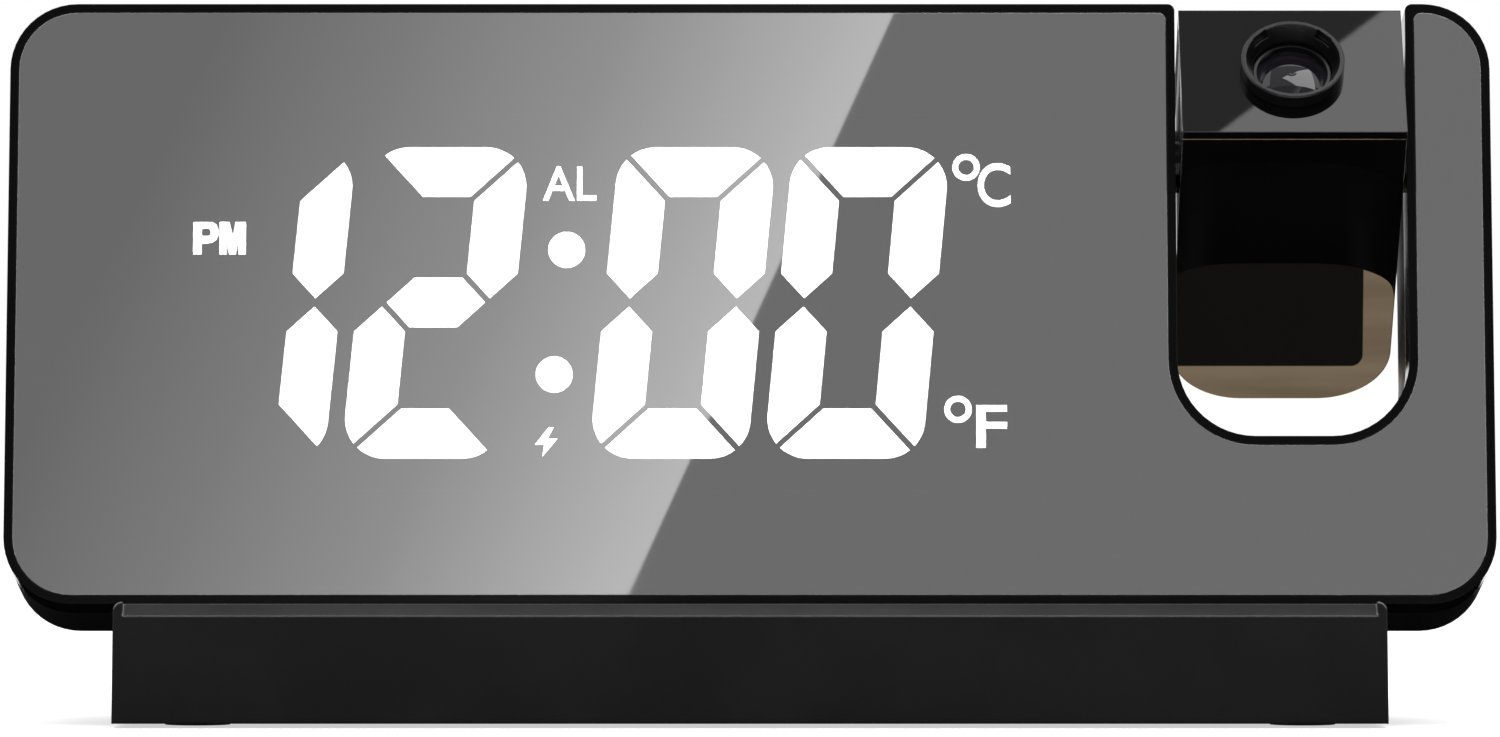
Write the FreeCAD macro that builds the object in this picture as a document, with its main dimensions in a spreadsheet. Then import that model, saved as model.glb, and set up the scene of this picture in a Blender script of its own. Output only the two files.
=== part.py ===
import FreeCAD, Part
import math
import os
import re

import Sketcher
from FreeCAD import Placement, Rotation, Vector

# Projection alarm clock: a leaning case with a half-mirror front, on a wedge base,
# and a projector head that turns in a bay at the right of the case.
#
# Four sets of axes are used, all in millimetres:
#   world      X right, Y back, Z up, origin on the floor at the middle of the space taken up
#   base       the same directions, origin at the middle of the base's footprint
#   case       X right, Y into the case square to the mirror, Z up along the mirror,
#              zero where the plane of the mirror meets the floor
#   projector  origin on the hinge axis, Y from front to back, Z towards the lens

SIZES = {
    # Case
    "case_width": 188.0,
    "case_height": 77.4,
    "case_depth": 20.8,
    "case_corner": 8.5,
    "case_wall": 1.8,
    "back_wall": 2.0,
    "front_depth": 7.0,
    "front_floor": 1.4,
    "lean_angle": 11.0,
    "rim_width": 1.1,
    "mirror_thick": 2.0,
    "mirror_fit": 0.06,
    "mouth_corner": 0.9,
    "strip_land": 2.0,
    # Bay that the projector head turns in
    "strip_width": 10.7,
    "bay_width": 29.3,
    "bay_depth": 55.9,
    "bay_corner": 9.8,
    # Projector head
    "side_gap": 0.5,
    "tip_gap": 3.1,
    "top_inset": 1.0,
    "pivot_drop": 18.3,
    "rest_tilt": 60.5,
    "head_corner": 9.3,
    "head_wall": 1.6,
    "lid_depth": 5.0,
    "head_post_side": 3.6,
    "head_post_drop": 3.4,
    "head_screw_length": 9.0,
    "head_screw_sink": 0.5,
    "end_thick": 1.4,
    "hinge_boss": 4.0,
    "boss_fit": 0.1,
    "boss_reach": 2.0,
    "pin_radius": 2.0,
    "pin_fit": 0.06,
    "pin_seat": 3.0,
    "pin_head": 3.4,
    "pin_head_thick": 1.2,
    "washer_radius": 3.8,
    "washer_thick": 0.5,
    "clip_thick": 0.6,
    "pin_end": 0.5,
    # Lens and focusing ring
    "lens_from_front": 10.6,
    "ring_radius": 6.55,
    "ring_wall": 1.5,
    "ring_height": 2.1,
    "ring_fit": 0.1,
    "ring_rim": 0.6,
    "cup_depth": 2.1,
    "ring_edge": 0.15,
    "grip_count": 4,
    "grip_notch": 2.4,
    "grip_sink": 1.1,
    "neck_step": 0.3,
    "cell_radius": 4.9,
    "cell_fit": 0.06,
    "cell_length": 9.0,
    "cell_sink": 2.7,
    "lens_radius": 4.5,
    "lens_edge": 1.2,
    "lens_bulge": 0.9,
    "lens_seat": 0.5,
    "barrel_wall": 1.0,
    "barrel_flange": 1.5,
    "barrel_foot": 6.0,
    "tunnel_width": 14.0,
    "tunnel_depth": 14.0,
    "tunnel_length": 18.0,
    "tunnel_wall": 1.2,
    "slide_thick": 1.2,
    "slide_rise": 1.0,
    "lamp_radius": 2.5,
    "lamp_stem": 1.4,
    # Display
    "digit_height": 40.25,
    "digit_width": 20.0,
    "bar_width": 6.45,
    "bar_gap": 0.75,
    "digit_round": 5.1,
    "digit_slant": 5.4,
    "digit_pitch": 22.1,
    "colon_pitch": 31.3,
    "minute_tens_place": -8.5,
    "digit_rise": 39.1,
    "colon_radius": 2.35,
    "colon_place": -23.9,
    "colon_upper": 6.8,
    "colon_lower": 9.3,
    "guide_start": 2.15,
    "guide_thick": 3.0,
    "reflector_depth": 6.0,
    "reflector_left": 76.0,
    "reflector_right": 38.0,
    "reflector_half": 24.0,
    "reflector_lip": 2.0,
    "lip_thick": 1.4,
    "display_clear": 8.0,
    "window_fit": 0.2,
    "board_thick": 1.2,
    "letter_place": -67.3,
    "letter_rise": 8.3,
    "alarm_place": -22.9,
    "alarm_rise": 15.4,
    "letter_half": 4.2,
    "letter_half_rise": 3.0,
    "celsius_place": 29.7,
    "celsius_rise": 15.8,
    "celsius_half": 4.1,
    "celsius_half_rise": 4.2,
    "fahrenheit_place": 28.5,
    "fahrenheit_drop": 15.4,
    "fahrenheit_half": 4.5,
    "fahrenheit_half_rise": 4.4,
    "mains_place": -25.8,
    "mains_drop": 18.0,
    "mains_half": 2.4,
    "mains_half_rise": 2.8,
    # Electronics
    "main_left": 36.0,
    "main_right": 41.0,
    "main_lower": 15.0,
    "main_upper": 8.0,
    "switch_side": 6.0,
    "switch_height": 2.5,
    "plunger_radius": 1.7,
    "plunger_rise": 0.7,
    "snooze_plunger": 1.5,
    "snooze_switch_depth": 3.4,
    "snooze_switch_rise": 2.0,
    "standoff_radius": 2.4,
    "standoff_inset": 1.0,
    "standoff_rise": 10.0,
    "standoff_drop": 18.0,
    "chip_drop": 6.0,
    "chip_side": 12.0,
    "chip_thick": 1.4,
    "speaker_radius": 14.0,
    "speaker_depth": 4.5,
    "magnet_share": 0.55,
    "magnet_depth": 3.0,
    "cone_share": 0.3,
    "cone_depth_share": 0.7,
    "speaker_rim": 1.2,
    "speaker_inset": 36.0,
    "speaker_rise": 40.0,
    "grille_radius": 10.5,
    "grille_slot": 1.2,
    "grille_pitch": 2.6,
    "grille_rows_above": 3,
    # Sockets on the back
    "port_rise": 5.0,
    "jack_place": 4.0,
    "jack_side": 9.0,
    "jack_length": 11.0,
    "jack_bore": 2.9,
    "jack_pin": 1.0,
    "jack_floor": 1.5,
    "pin_foot": 1.0,
    "pin_short": 2.0,
    "usb_place": 24.0,
    "usb_width": 13.1,
    "usb_height": 5.7,
    "usb_length": 14.0,
    "usb_wall": 0.4,
    "usb_floor": 3.0,
    "tongue_foot": 2.0,
    "tongue_short": 1.0,
    "tongue_inset": 0.6,
    "tongue_drop": 0.3,
    "tongue_thick": 1.8,
    "port_fit": 0.15,
    "port_inset": 0.2,
    "port_board_left": 8.0,
    "port_board_right": 11.0,
    "port_board_front": 5.0,
    "port_board_gap": 0.4,
    "seat_jack_near": 5.0,
    "seat_jack_far": 7.0,
    "seat_usb_near": 8.0,
    "seat_usb_far": 10.0,
    "seat_gap": 1.0,
    # Buttons
    "button_length": 9.0,
    "button_height": 5.0,
    "button_pitch": 13.0,
    "button_drop": 12.0,
    "button_proud": 0.8,
    "button_travel": 0.5,
    "button_flange": 0.8,
    "button_lip": 0.8,
    "button_fit": 0.25,
    "press_gap": 0.1,
    "cap_round": 0.5,
    "snooze_length": 44.0,
    "snooze_width": 8.0,
    "snooze_place": 4.0,
    "snooze_depth": 13.2,
    "snooze_proud": 0.6,
    "snooze_travel": 0.6,
    "snooze_lip": 0.5,
    # Screws
    "post_inset": 8.0,
    "post_radius": 3.0,
    "screw_radius": 1.0,
    "screw_fit": 0.1,
    "screw_head": 2.3,
    "head_thick": 1.5,
    "screw_sink": 8.0,
    "screw_short": 0.4,
    "base_screw_short": 0.5,
    "plate_screw_short": 0.3,
    # Base
    "base_width": 160.0,
    "base_depth": 43.4,
    "base_height": 15.5,
    "base_wall": 2.0,
    "base_back": 6.5,
    "base_round": 1.2,
    "base_back_round": 2.5,
    "ledge_drop": 1.8,
    "ledge_run": 1.7,
    "cheek": 1.2,
    "plate_thick": 1.6,
    "plate_fit": 0.15,
    "cup_height": 1.4,
    "cup_sink": 0.3,
    "cup_wall": 1.2,
    "foot_drop": 0.6,
    "foot_sink": 0.6,
    "foot_radius": 4.5,
    "foot_taper": 0.4,
    "foot_place": 70.0,
    "foot_front": 9.0,
    "foot_back": 13.0,
    "base_post_place": 60.0,
    "base_screw_place": 70.0,
    "base_screw_middle": -20.0,
    "base_screw_depth": 13.0,
    "base_boss": 6.0,
    "pilot_depth": 3.0,
    "cell_place": -36.0,
    "coin_radius": 10.0,
    "coin_thick": 3.2,
    "coin_step": 0.4,
    "coin_rim": 1.2,
    "coin_fit": 0.3,
    "door_place": -1.0,
    "holder_length": 29.0,
    "holder_width": 24.0,
    "holder_roof": 1.0,
    "door_length": 27.0,
    "door_width": 21.0,
    "door_fit": 0.2,
    "grip_inset": 3.0,
    "grip_width": 3.0,
    "grip_length": 10.0,
    "grip_depth": 0.6,
    "grip_end": 0.45,
}

document = FreeCAD.newDocument("ProjectionAlarmClock")
sheet = document.addObject("Spreadsheet::Sheet", "Sizes")
for row, (name, size) in enumerate(SIZES.items(), start=1):
    sheet.set(f"A{row}", name)
    sheet.set(f"B{row}", str(size))
    sheet.setAlias(f"B{row}", name)
document.recompute()

NAMES = re.compile(r"\b(" + "|".join(SIZES) + r")\b")


def bound(text):
    """Expression text with each size named as a cell of the sheet."""
    return NAMES.sub(r"Sizes.\1", str(text))


def value(text):
    """Number that an expression gives now."""
    return float(sheet.evalExpression(bound(text)))


# Places that many pieces share

CASE_BOTTOM = "(base_height / cos(lean_angle))"
CASE_TOP = f"({CASE_BOTTOM} + case_height)"
CASE_SIDE = "(case_width / 2)"
BAY_RIGHT = f"({CASE_SIDE} - strip_width)"
BAY_LEFT = f"({BAY_RIGHT} - bay_width)"
BAY_MIDDLE = f"({BAY_RIGHT} - bay_width / 2)"
BAY_FLOOR = f"({CASE_TOP} - bay_depth)"
PIVOT_DEPTH = "(case_depth / 2)"
PIVOT_RISE = f"({CASE_TOP} - pivot_drop)"
FLOOR_BACK = "(mirror_thick + front_floor)"
BACK_INNER = "(case_depth - back_wall)"
DISPLAY_RISE = f"({CASE_BOTTOM} + digit_rise)"
REFLECTOR_BACK = "(guide_start + reflector_depth)"
SWITCH_TOP = f"({BACK_INNER} - press_gap - button_flange - press_gap - button_travel)"
MAIN_BACK = f"({SWITCH_TOP} - switch_height)"
MAIN_FRONT = f"({MAIN_BACK} - board_thick)"
SPEAKER_ACROSS = f"(speaker_inset - {CASE_SIDE})"
BUTTON_RISE = f"({CASE_TOP} - button_drop)"
SNOOZE_UNDER = f"({CASE_TOP} - case_wall - press_gap - button_flange)"
PORT_FLOOR = f"({CASE_BOTTOM} + port_rise)"
SCREW_HOLE = "(screw_radius + screw_fit)"
HEAD_HOLE = "(screw_head + 2 * screw_fit)"
SCREW_SEAT = "(case_depth - screw_sink)"

HEAD_WIDTH = "(bay_width - 2 * side_gap)"
HEAD_UP = "(pivot_drop - top_inset)"
HEAD_DOWN = "(bay_depth - tip_gap - pivot_drop)"
HEAD_FRONT = "(case_depth / -2)"
HEAD_BACK = "(case_depth / 2)"
HEAD_SPLIT = f"({HEAD_BACK} - lid_depth)"
SHELL_TOP = f"({HEAD_UP} - end_thick)"
LENS_LINE = f"({HEAD_FRONT} + lens_from_front)"
RING_BORE = "(ring_radius - ring_wall)"
NECK = "(ring_radius - neck_step)"
CELL_TOP = f"({HEAD_UP} + ring_height - cell_sink)"
CELL_FOOT = f"({CELL_TOP} - cell_length)"

BASE_SIDE = "(base_width / 2)"
PLATE_TOP = "(foot_drop + plate_thick)"
CUP_TOP = f"({PLATE_TOP} + cup_height)"
SINK_TOP = "(foot_drop + head_thick + cup_sink)"

MODE, ALARM, UP, DOWN, PROJECT = range(-2, 3)
BUTTONS = {
    "mode_button": MODE,
    "alarm_button": ALARM,
    "up_button": UP,
    "down_button": DOWN,
    "projection_button": PROJECT,
}

CASE_POSTS = [
    (f"post_inset - {CASE_SIDE}", f"{CASE_TOP} - post_inset"),
    (f"post_inset - {CASE_SIDE}", f"{CASE_BOTTOM} + post_inset"),
    (f"{BAY_LEFT} - post_inset", f"{CASE_TOP} - post_inset"),
    (f"{BAY_LEFT} - post_inset", f"{CASE_BOTTOM} + post_inset"),
    (f"{CASE_SIDE} - strip_width / 2", f"{CASE_TOP} - post_inset"),
    (f"{CASE_SIDE} - strip_width / 2", f"{CASE_BOTTOM} + post_inset"),
]
BOARD_POSTS = [
    ("standoff_radius + standoff_inset - main_left", f"{DISPLAY_RISE} + standoff_rise"),
    ("main_right - standoff_radius - standoff_inset", f"{DISPLAY_RISE} + standoff_rise"),
    ("standoff_radius + standoff_inset - main_left", f"{DISPLAY_RISE} - standoff_drop"),
    ("main_right - standoff_radius - standoff_inset", f"{DISPLAY_RISE} - standoff_drop"),
]
BASE_SCREWS = ["base_screw_place * -1", "base_screw_middle", "base_screw_place"]
BASE_POSTS = [
    ("base_post_place * -1", "foot_front * -1"),
    ("base_post_place * -1", "foot_back"),
    ("base_post_place", "foot_front * -1"),
    ("base_post_place", "foot_back"),
]
HEAD_POSTS = [
    (f"{HEAD_WIDTH} / -2 + head_post_side", f"{SHELL_TOP} - head_post_drop"),
    (f"{HEAD_WIDTH} / 2 - head_post_side", f"{SHELL_TOP} - head_post_drop"),
    (f"{HEAD_WIDTH} / -2 + head_corner / 2", f"head_corner - {HEAD_DOWN}"),
    (f"{HEAD_WIDTH} / 2 - head_corner / 2", f"head_corner - {HEAD_DOWN}"),
]


# Sketches and features

PLANES = {"front": ("XZ_Plane", "-1"), "side": ("YZ_Plane", "1"), "top": ("XY_Plane", "1")}


def new_body(name):
    return document.addObject("PartDesign::Body", name + "_body")


def new_sketch(body, facing, level):
    """Sketch seen from the front, side or top, lying at a level of that axis."""
    role, sign = PLANES[facing]
    plane = [item for item in body.Origin.OriginFeatures if item.Role == role][0]
    sketch = body.newObject("Sketcher::SketchObject", "sketch")
    sketch.AttachmentSupport = [(plane, "")]
    sketch.MapMode = "FlatFace"
    sketch.setExpression("AttachmentOffset.Base.z", bound(f"({level}) * {sign}"))
    return sketch


def limit(sketch, kind, *places, size):
    """Dimension of a sketch, bound to the sheet."""
    index = sketch.addConstraint(Sketcher.Constraint(kind, *places, value(size)))
    sketch.setExpression(f"Constraints[{index}]", bound(size))


def draw_circle(sketch, across, along, radius):
    centre = Vector(value(across), value(along), 0)
    index = sketch.addGeometry(Part.Circle(centre, Vector(0, 0, 1), value(radius)), False)
    limit(sketch, "DistanceX", -1, 1, index, 3, size=across)
    limit(sketch, "DistanceY", -1, 1, index, 3, size=along)
    limit(sketch, "Radius", index, size=radius)


def draw_pill(sketch, middle, centre, length, height):
    """Slot with full round ends, from two half circles and two lines."""
    radius = f"({height}) / 2"
    reach = f"(({length}) - ({height})) / 2"
    size, half = value(radius), value(reach)
    rise = value(centre)
    ends = []
    for sign, start in ((-1, math.pi / 2), (1, -math.pi / 2)):
        place = Vector(value(middle) + sign * half, rise, 0)
        circle = Part.Circle(place, Vector(0, 0, 1), size)
        arc = Part.ArcOfCircle(circle, start, start + math.pi)
        index = sketch.addGeometry(arc, False)
        limit(sketch, "DistanceX", -1, 1, index, 3, size=f"({middle}) + {sign} * {reach}")
        limit(sketch, "DistanceY", -1, 1, index, 3, size=centre)
        limit(sketch, "Radius", index, size=radius)
        ends.append((index, place))
    (left, left_place), (right, right_place) = ends
    for side, first, last in ((-1, (left, 2), (right, 1)), (1, (right, 2), (left, 1))):
        places = {left: left_place, right: right_place}
        up = Vector(0, side * size, 0)
        line = Part.LineSegment(places[first[0]] + up, places[last[0]] + up)
        index = sketch.addGeometry(line, False)
        sketch.addConstraint(Sketcher.Constraint("Tangent", *first, index, 1))
        sketch.addConstraint(Sketcher.Constraint("Tangent", index, 2, *last))


def draw_loop(sketch, corners):
    """Closed outline; a corner's third value is the radius that rounds it."""
    count = len(corners)
    points = [Vector(value(corner[0]), value(corner[1]), 0) for corner in corners]
    radii = [corner[2] if len(corner) > 2 else None for corner in corners]
    steps = [(points[(i + 1) % count] - points[i]).normalize() for i in range(count)]
    starts, ends, arcs = list(points), list(points), {}
    for i, radius in enumerate(radii):
        if radius is None:
            continue
        before, after = steps[i - 1], steps[i]
        left = before.cross(after).z > 0
        size = value(radius)
        reach = size * math.tan(before.getAngle(after) / 2)
        ends[i] = points[i] - before * reach
        starts[i] = points[i] + after * reach
        inward = Vector(-before.y, before.x, 0) * (1 if left else -1)
        centre = ends[i] + inward * size
        first, last = (ends[i], starts[i]) if left else (starts[i], ends[i])
        angles = [math.atan2(end.y - centre.y, end.x - centre.x) for end in (first, last)]
        circle = Part.Circle(centre, Vector(0, 0, 1), size)
        arcs[i] = (Part.ArcOfCircle(circle, *angles), left)
    lines = []
    for i in range(count):
        line = Part.LineSegment(starts[i], ends[(i + 1) % count])
        lines.append(sketch.addGeometry(line, False))
    upright = [corners[i][0] == corners[(i + 1) % count][0] for i in range(count)]
    level = [corners[i][1] == corners[(i + 1) % count][1] for i in range(count)]
    for i in range(count):
        if upright[i]:
            sketch.addConstraint(Sketcher.Constraint("Vertical", lines[i]))
            limit(sketch, "DistanceX", -1, 1, lines[i], 1, size=corners[i][0])
        elif level[i]:
            sketch.addConstraint(Sketcher.Constraint("Horizontal", lines[i]))
            limit(sketch, "DistanceY", -1, 1, lines[i], 1, size=corners[i][1])
        handle = (lines[i], 1)
        if i in arcs:
            arc, left = arcs[i]
            index = sketch.addGeometry(arc, False)
            first, last = (1, 2) if left else (2, 1)
            sketch.addConstraint(Sketcher.Constraint("Tangent", lines[i - 1], 2, index, first))
            sketch.addConstraint(Sketcher.Constraint("Tangent", index, last, lines[i], 1))
            limit(sketch, "Radius", index, size=radii[i])
        else:
            sketch.addConstraint(Sketcher.Constraint("Coincident", lines[i - 1], 2, lines[i], 1))
        need_across = not (upright[i] or upright[i - 1])
        need_along = not (level[i] or level[i - 1])
        if i in arcs and (need_across or need_along):
            point = sketch.addGeometry(Part.Point(points[i]), True)
            handle = (point, 1)
            for line in (lines[i - 1], lines[i]):
                sketch.addConstraint(Sketcher.Constraint("PointOnObject", point, 1, line))
        if need_across:
            limit(sketch, "DistanceX", -1, 1, *handle, size=corners[i][0])
        if need_along:
            limit(sketch, "DistanceY", -1, 1, *handle, size=corners[i][1])


def rectangle(left, right, low, high, radius=None):
    rounding = () if radius is None else (radius,)
    corners = [(left, low), (right, low), (right, high), (left, high)]
    return [corner + rounding for corner in corners]


def add(body, kind, sketch, length, reverse, grows):
    """Pad or pocket, checked to change the volume the way it should."""
    document.recompute()
    before = body.Shape.Volume if body.Tip else 0
    feature = body.newObject(kind, "feature")
    feature.Profile = sketch
    feature.setExpression("Length", bound(length))
    feature.Reversed = reverse
    document.recompute()
    change = body.Shape.Volume - before
    if change * grows <= 0:
        raise RuntimeError(f"{body.Name}: a feature changed the volume by {change:.3f}")
    return feature


def pad(body, facing, level, length, *loops, towards=1):
    """Raise loops or circles from a level, along the axis or against it."""
    sketch = new_sketch(body, facing, level)
    draw_all(sketch, loops)
    flip = (towards > 0) == (facing == "front")
    return add(body, "PartDesign::Pad", sketch, length, flip, 1)


def pocket(body, facing, level, length, *loops, towards=1):
    """Cut loops or circles from a level, along the axis or against it."""
    sketch = new_sketch(body, facing, level)
    draw_all(sketch, loops)
    flip = (towards > 0) != (facing == "front")
    return add(body, "PartDesign::Pocket", sketch, length, flip, -1)


def draw_all(sketch, loops):
    """Loops are lists of corners, circles of three values and pills of four."""
    for loop in loops:
        if isinstance(loop, list):
            draw_loop(sketch, loop)
        elif len(loop) == 3:
            draw_circle(sketch, *loop)
        else:
            draw_pill(sketch, *loop)


def edges_where(shape, test):
    return [f"Edge{i}" for i, edge in enumerate(shape.Edges, start=1) if test(edge)]


def round_edges(body, radius, test):
    """Fillet of the edges that pass a test on the body's present shape."""
    tip = body.Tip
    feature = body.newObject("PartDesign::Fillet", "rounding")
    feature.Base = (tip, edges_where(tip.Shape, test))
    feature.setExpression("Radius", bound(radius))
    document.recompute()
    return feature


# Primitives and booleans

TURNS = {
    "x": Rotation(Vector(0, 1, 0), 90),
    "y": Rotation(Vector(1, 0, 0), -90),
    "z": Rotation(),
}


def put(item, corner):
    for axis, place in zip("xyz", corner):
        item.setExpression(f"Placement.Base.{axis}", bound(place))
    return item


def box(left, right, front, back, low, high):
    item = document.addObject("Part::Box", "block")
    item.setExpression("Length", bound(f"({right}) - ({left})"))
    item.setExpression("Width", bound(f"({back}) - ({front})"))
    item.setExpression("Height", bound(f"({high}) - ({low})"))
    return put(item, (left, front, low))


def rod(direction, foot, radius, length):
    item = document.addObject("Part::Cylinder", "rod")
    item.Placement = Placement(Vector(), TURNS[direction])
    item.setExpression("Radius", bound(radius))
    item.setExpression("Height", bound(length))
    return put(item, foot)


def cone(direction, foot, first, last, length):
    item = document.addObject("Part::Cone", "taper")
    item.Placement = Placement(Vector(), TURNS[direction])
    item.setExpression("Radius1", bound(first))
    item.setExpression("Radius2", bound(last))
    item.setExpression("Height", bound(length))
    return put(item, foot)


def join(*pieces):
    if len(pieces) == 1:
        return pieces[0]
    item = document.addObject("Part::MultiFuse", "joined")
    item.Shapes = list(pieces)
    item.Refine = True
    return item


def cut(piece, *tools):
    item = document.addObject("Part::Cut", "trimmed")
    item.Base = piece
    item.Tool = join(*tools)
    return item


def tube(direction, foot, outer, inner, length):
    return cut(rod(direction, foot, outer, length), rod(direction, foot, inner, length))


def group(*pieces):
    item = document.addObject("Part::Compound", "group")
    item.Links = list(pieces)
    return item


def screw(direction, foot, length, towards):
    """Pan-head screw; foot is under the head and towards is +1 or -1 along the axis."""
    back = {"x": 0, "y": 1, "z": 2}[direction]
    shaft_foot, head_foot = list(foot), list(foot)
    if towards > 0:
        head_foot[back] = f"({foot[back]}) - head_thick"
    else:
        shaft_foot[back] = f"({foot[back]}) - ({length})"
    shaft = rod(direction, shaft_foot, "screw_radius", length)
    head = rod(direction, head_foot, "screw_head", "head_thick")
    return join(shaft, head)


# Registering the sub-parts and setting each in its place

PARTS = []


def base_y(depth, rise):
    """Base Y of a point given in the case's own axes."""
    return f"(base_depth / -2 + ({rise}) * sin(lean_angle) + ({depth}) * cos(lean_angle))"


def base_z(depth, rise):
    return f"(({rise}) * cos(lean_angle) - ({depth}) * sin(lean_angle))"


HEAD_TURN = "(rest_tilt - lean_angle)"
BASE_FOOT = "((foot_drop - ledge_run * sin(lean_angle)) / cos(lean_angle))"
FRONT_EDGE = base_y("0 - ledge_run", BASE_FOOT)
BACK_EDGE = (
    f"({base_y(PIVOT_DEPTH, PIVOT_RISE)} + {HEAD_BACK} * cos{HEAD_TURN}"
    f" + {HEAD_DOWN} * sin{HEAD_TURN})"
)
BASE_PLACE = f"(({FRONT_EDGE} + {BACK_EDGE}) / -2)"


def finish_part(item, name):
    item.Label = name
    PARTS.append(item)


def in_base(item, name):
    item.Placement = Placement()
    item.setExpression("Placement.Base.y", bound(BASE_PLACE))
    finish_part(item, name)


def in_case(item, name):
    item.Placement = Placement(Vector(), Rotation(Vector(-1, 0, 0), value("lean_angle")))
    item.setExpression("Placement.Base.y", bound(f"{base_y('0', '0')} + {BASE_PLACE}"))
    item.setExpression("Placement.Rotation.Angle", bound("lean_angle"))
    finish_part(item, name)


def in_projector(item, name):
    item.Placement = Placement(Vector(), Rotation(Vector(1, 0, 0), value(HEAD_TURN)))
    item.setExpression("Placement.Base.x", bound(BAY_MIDDLE))
    place_y = f"{base_y(PIVOT_DEPTH, PIVOT_RISE)} + {BASE_PLACE}"
    item.setExpression("Placement.Base.y", bound(place_y))
    item.setExpression("Placement.Base.z", bound(base_z(PIVOT_DEPTH, PIVOT_RISE)))
    item.setExpression("Placement.Rotation.Angle", bound(HEAD_TURN))
    finish_part(item, name)


# Case

def case_outline(inset, mouth=None):
    """Rounded oblong with the projector's bay let in from the top, drawn in by an inset."""
    low = f"{CASE_BOTTOM} + ({inset})"
    high = f"{CASE_TOP} - ({inset})"
    left = f"({inset}) - {CASE_SIDE}"
    right = f"{CASE_SIDE} - ({inset})"
    bay_low = f"{BAY_FLOOR} - ({inset})"
    bay_left = f"{BAY_LEFT} - ({inset})"
    bay_right = f"{BAY_RIGHT} + ({inset})"
    outer = f"min(case_corner; strip_width - strip_land) - ({inset})"
    inner = f"bay_corner + ({inset})"
    lip = () if mouth is None else (mouth,)
    return [
        (left, low, outer),
        (right, low, outer),
        (right, high, outer),
        (bay_right, high) + lip,
        (bay_right, bay_low, inner),
        (bay_left, bay_low, inner),
        (bay_left, high) + lip,
        (left, high, outer),
    ]


def make_front_mirror():
    """Half-mirror panel, flush in the front of the case."""
    body = new_body("front_mirror")
    pad(body, "front", "0", "mirror_thick", case_outline("rim_width + mirror_fit", "mouth_corner"))
    in_case(body, "front_mirror")


def make_front_case():
    """Front tray: a thin rim round the mirror, a floor behind it and six screw posts."""
    body = new_body("front_case")
    pad(body, "front", "0", "front_depth", case_outline("0", "mouth_corner"))
    pocket(body, "front", "0", "mirror_thick", case_outline("rim_width", "mouth_corner"))
    behind_floor = f"front_depth - {FLOOR_BACK}"
    pocket(body, "front", FLOOR_BACK, behind_floor, case_outline("case_wall"))
    posts = [(across, along, "post_radius") for across, along in CASE_POSTS]
    pad(body, "front", FLOOR_BACK, behind_floor, *posts)
    holes = [(across, along, "screw_radius") for across, along in CASE_POSTS]
    pocket(body, "front", FLOOR_BACK, behind_floor, *holes)
    window = rectangle(
        "(reflector_left + window_fit) * -1",
        "reflector_right + window_fit",
        f"{DISPLAY_RISE} - reflector_half - window_fit",
        f"{DISPLAY_RISE} + reflector_half + window_fit",
    )
    pocket(body, "front", "mirror_thick", "front_floor", window)
    in_case(body, "front_case")


def pill(middle, centre, length, height, grow="0"):
    """Slot outline, made larger all round by grow."""
    return (middle, centre, f"({length}) + 2 * ({grow})", f"({height}) + 2 * ({grow})")


def grille_slots():
    """Slots across a round grille, each as long as the circle is wide there."""
    slots = []
    rows = round(value("grille_rows_above"))
    for row in range(-rows, rows + 1):
        rise = f"({row} * grille_pitch)"
        half = f"sqrt(grille_radius ^ 2 - {rise} ^ 2)"
        slots.append(
            pill(
                SPEAKER_ACROSS,
                f"{CASE_BOTTOM} + speaker_rise + {rise}",
                f"2 * {half}",
                "grille_slot",
            )
        )
    return slots


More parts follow.
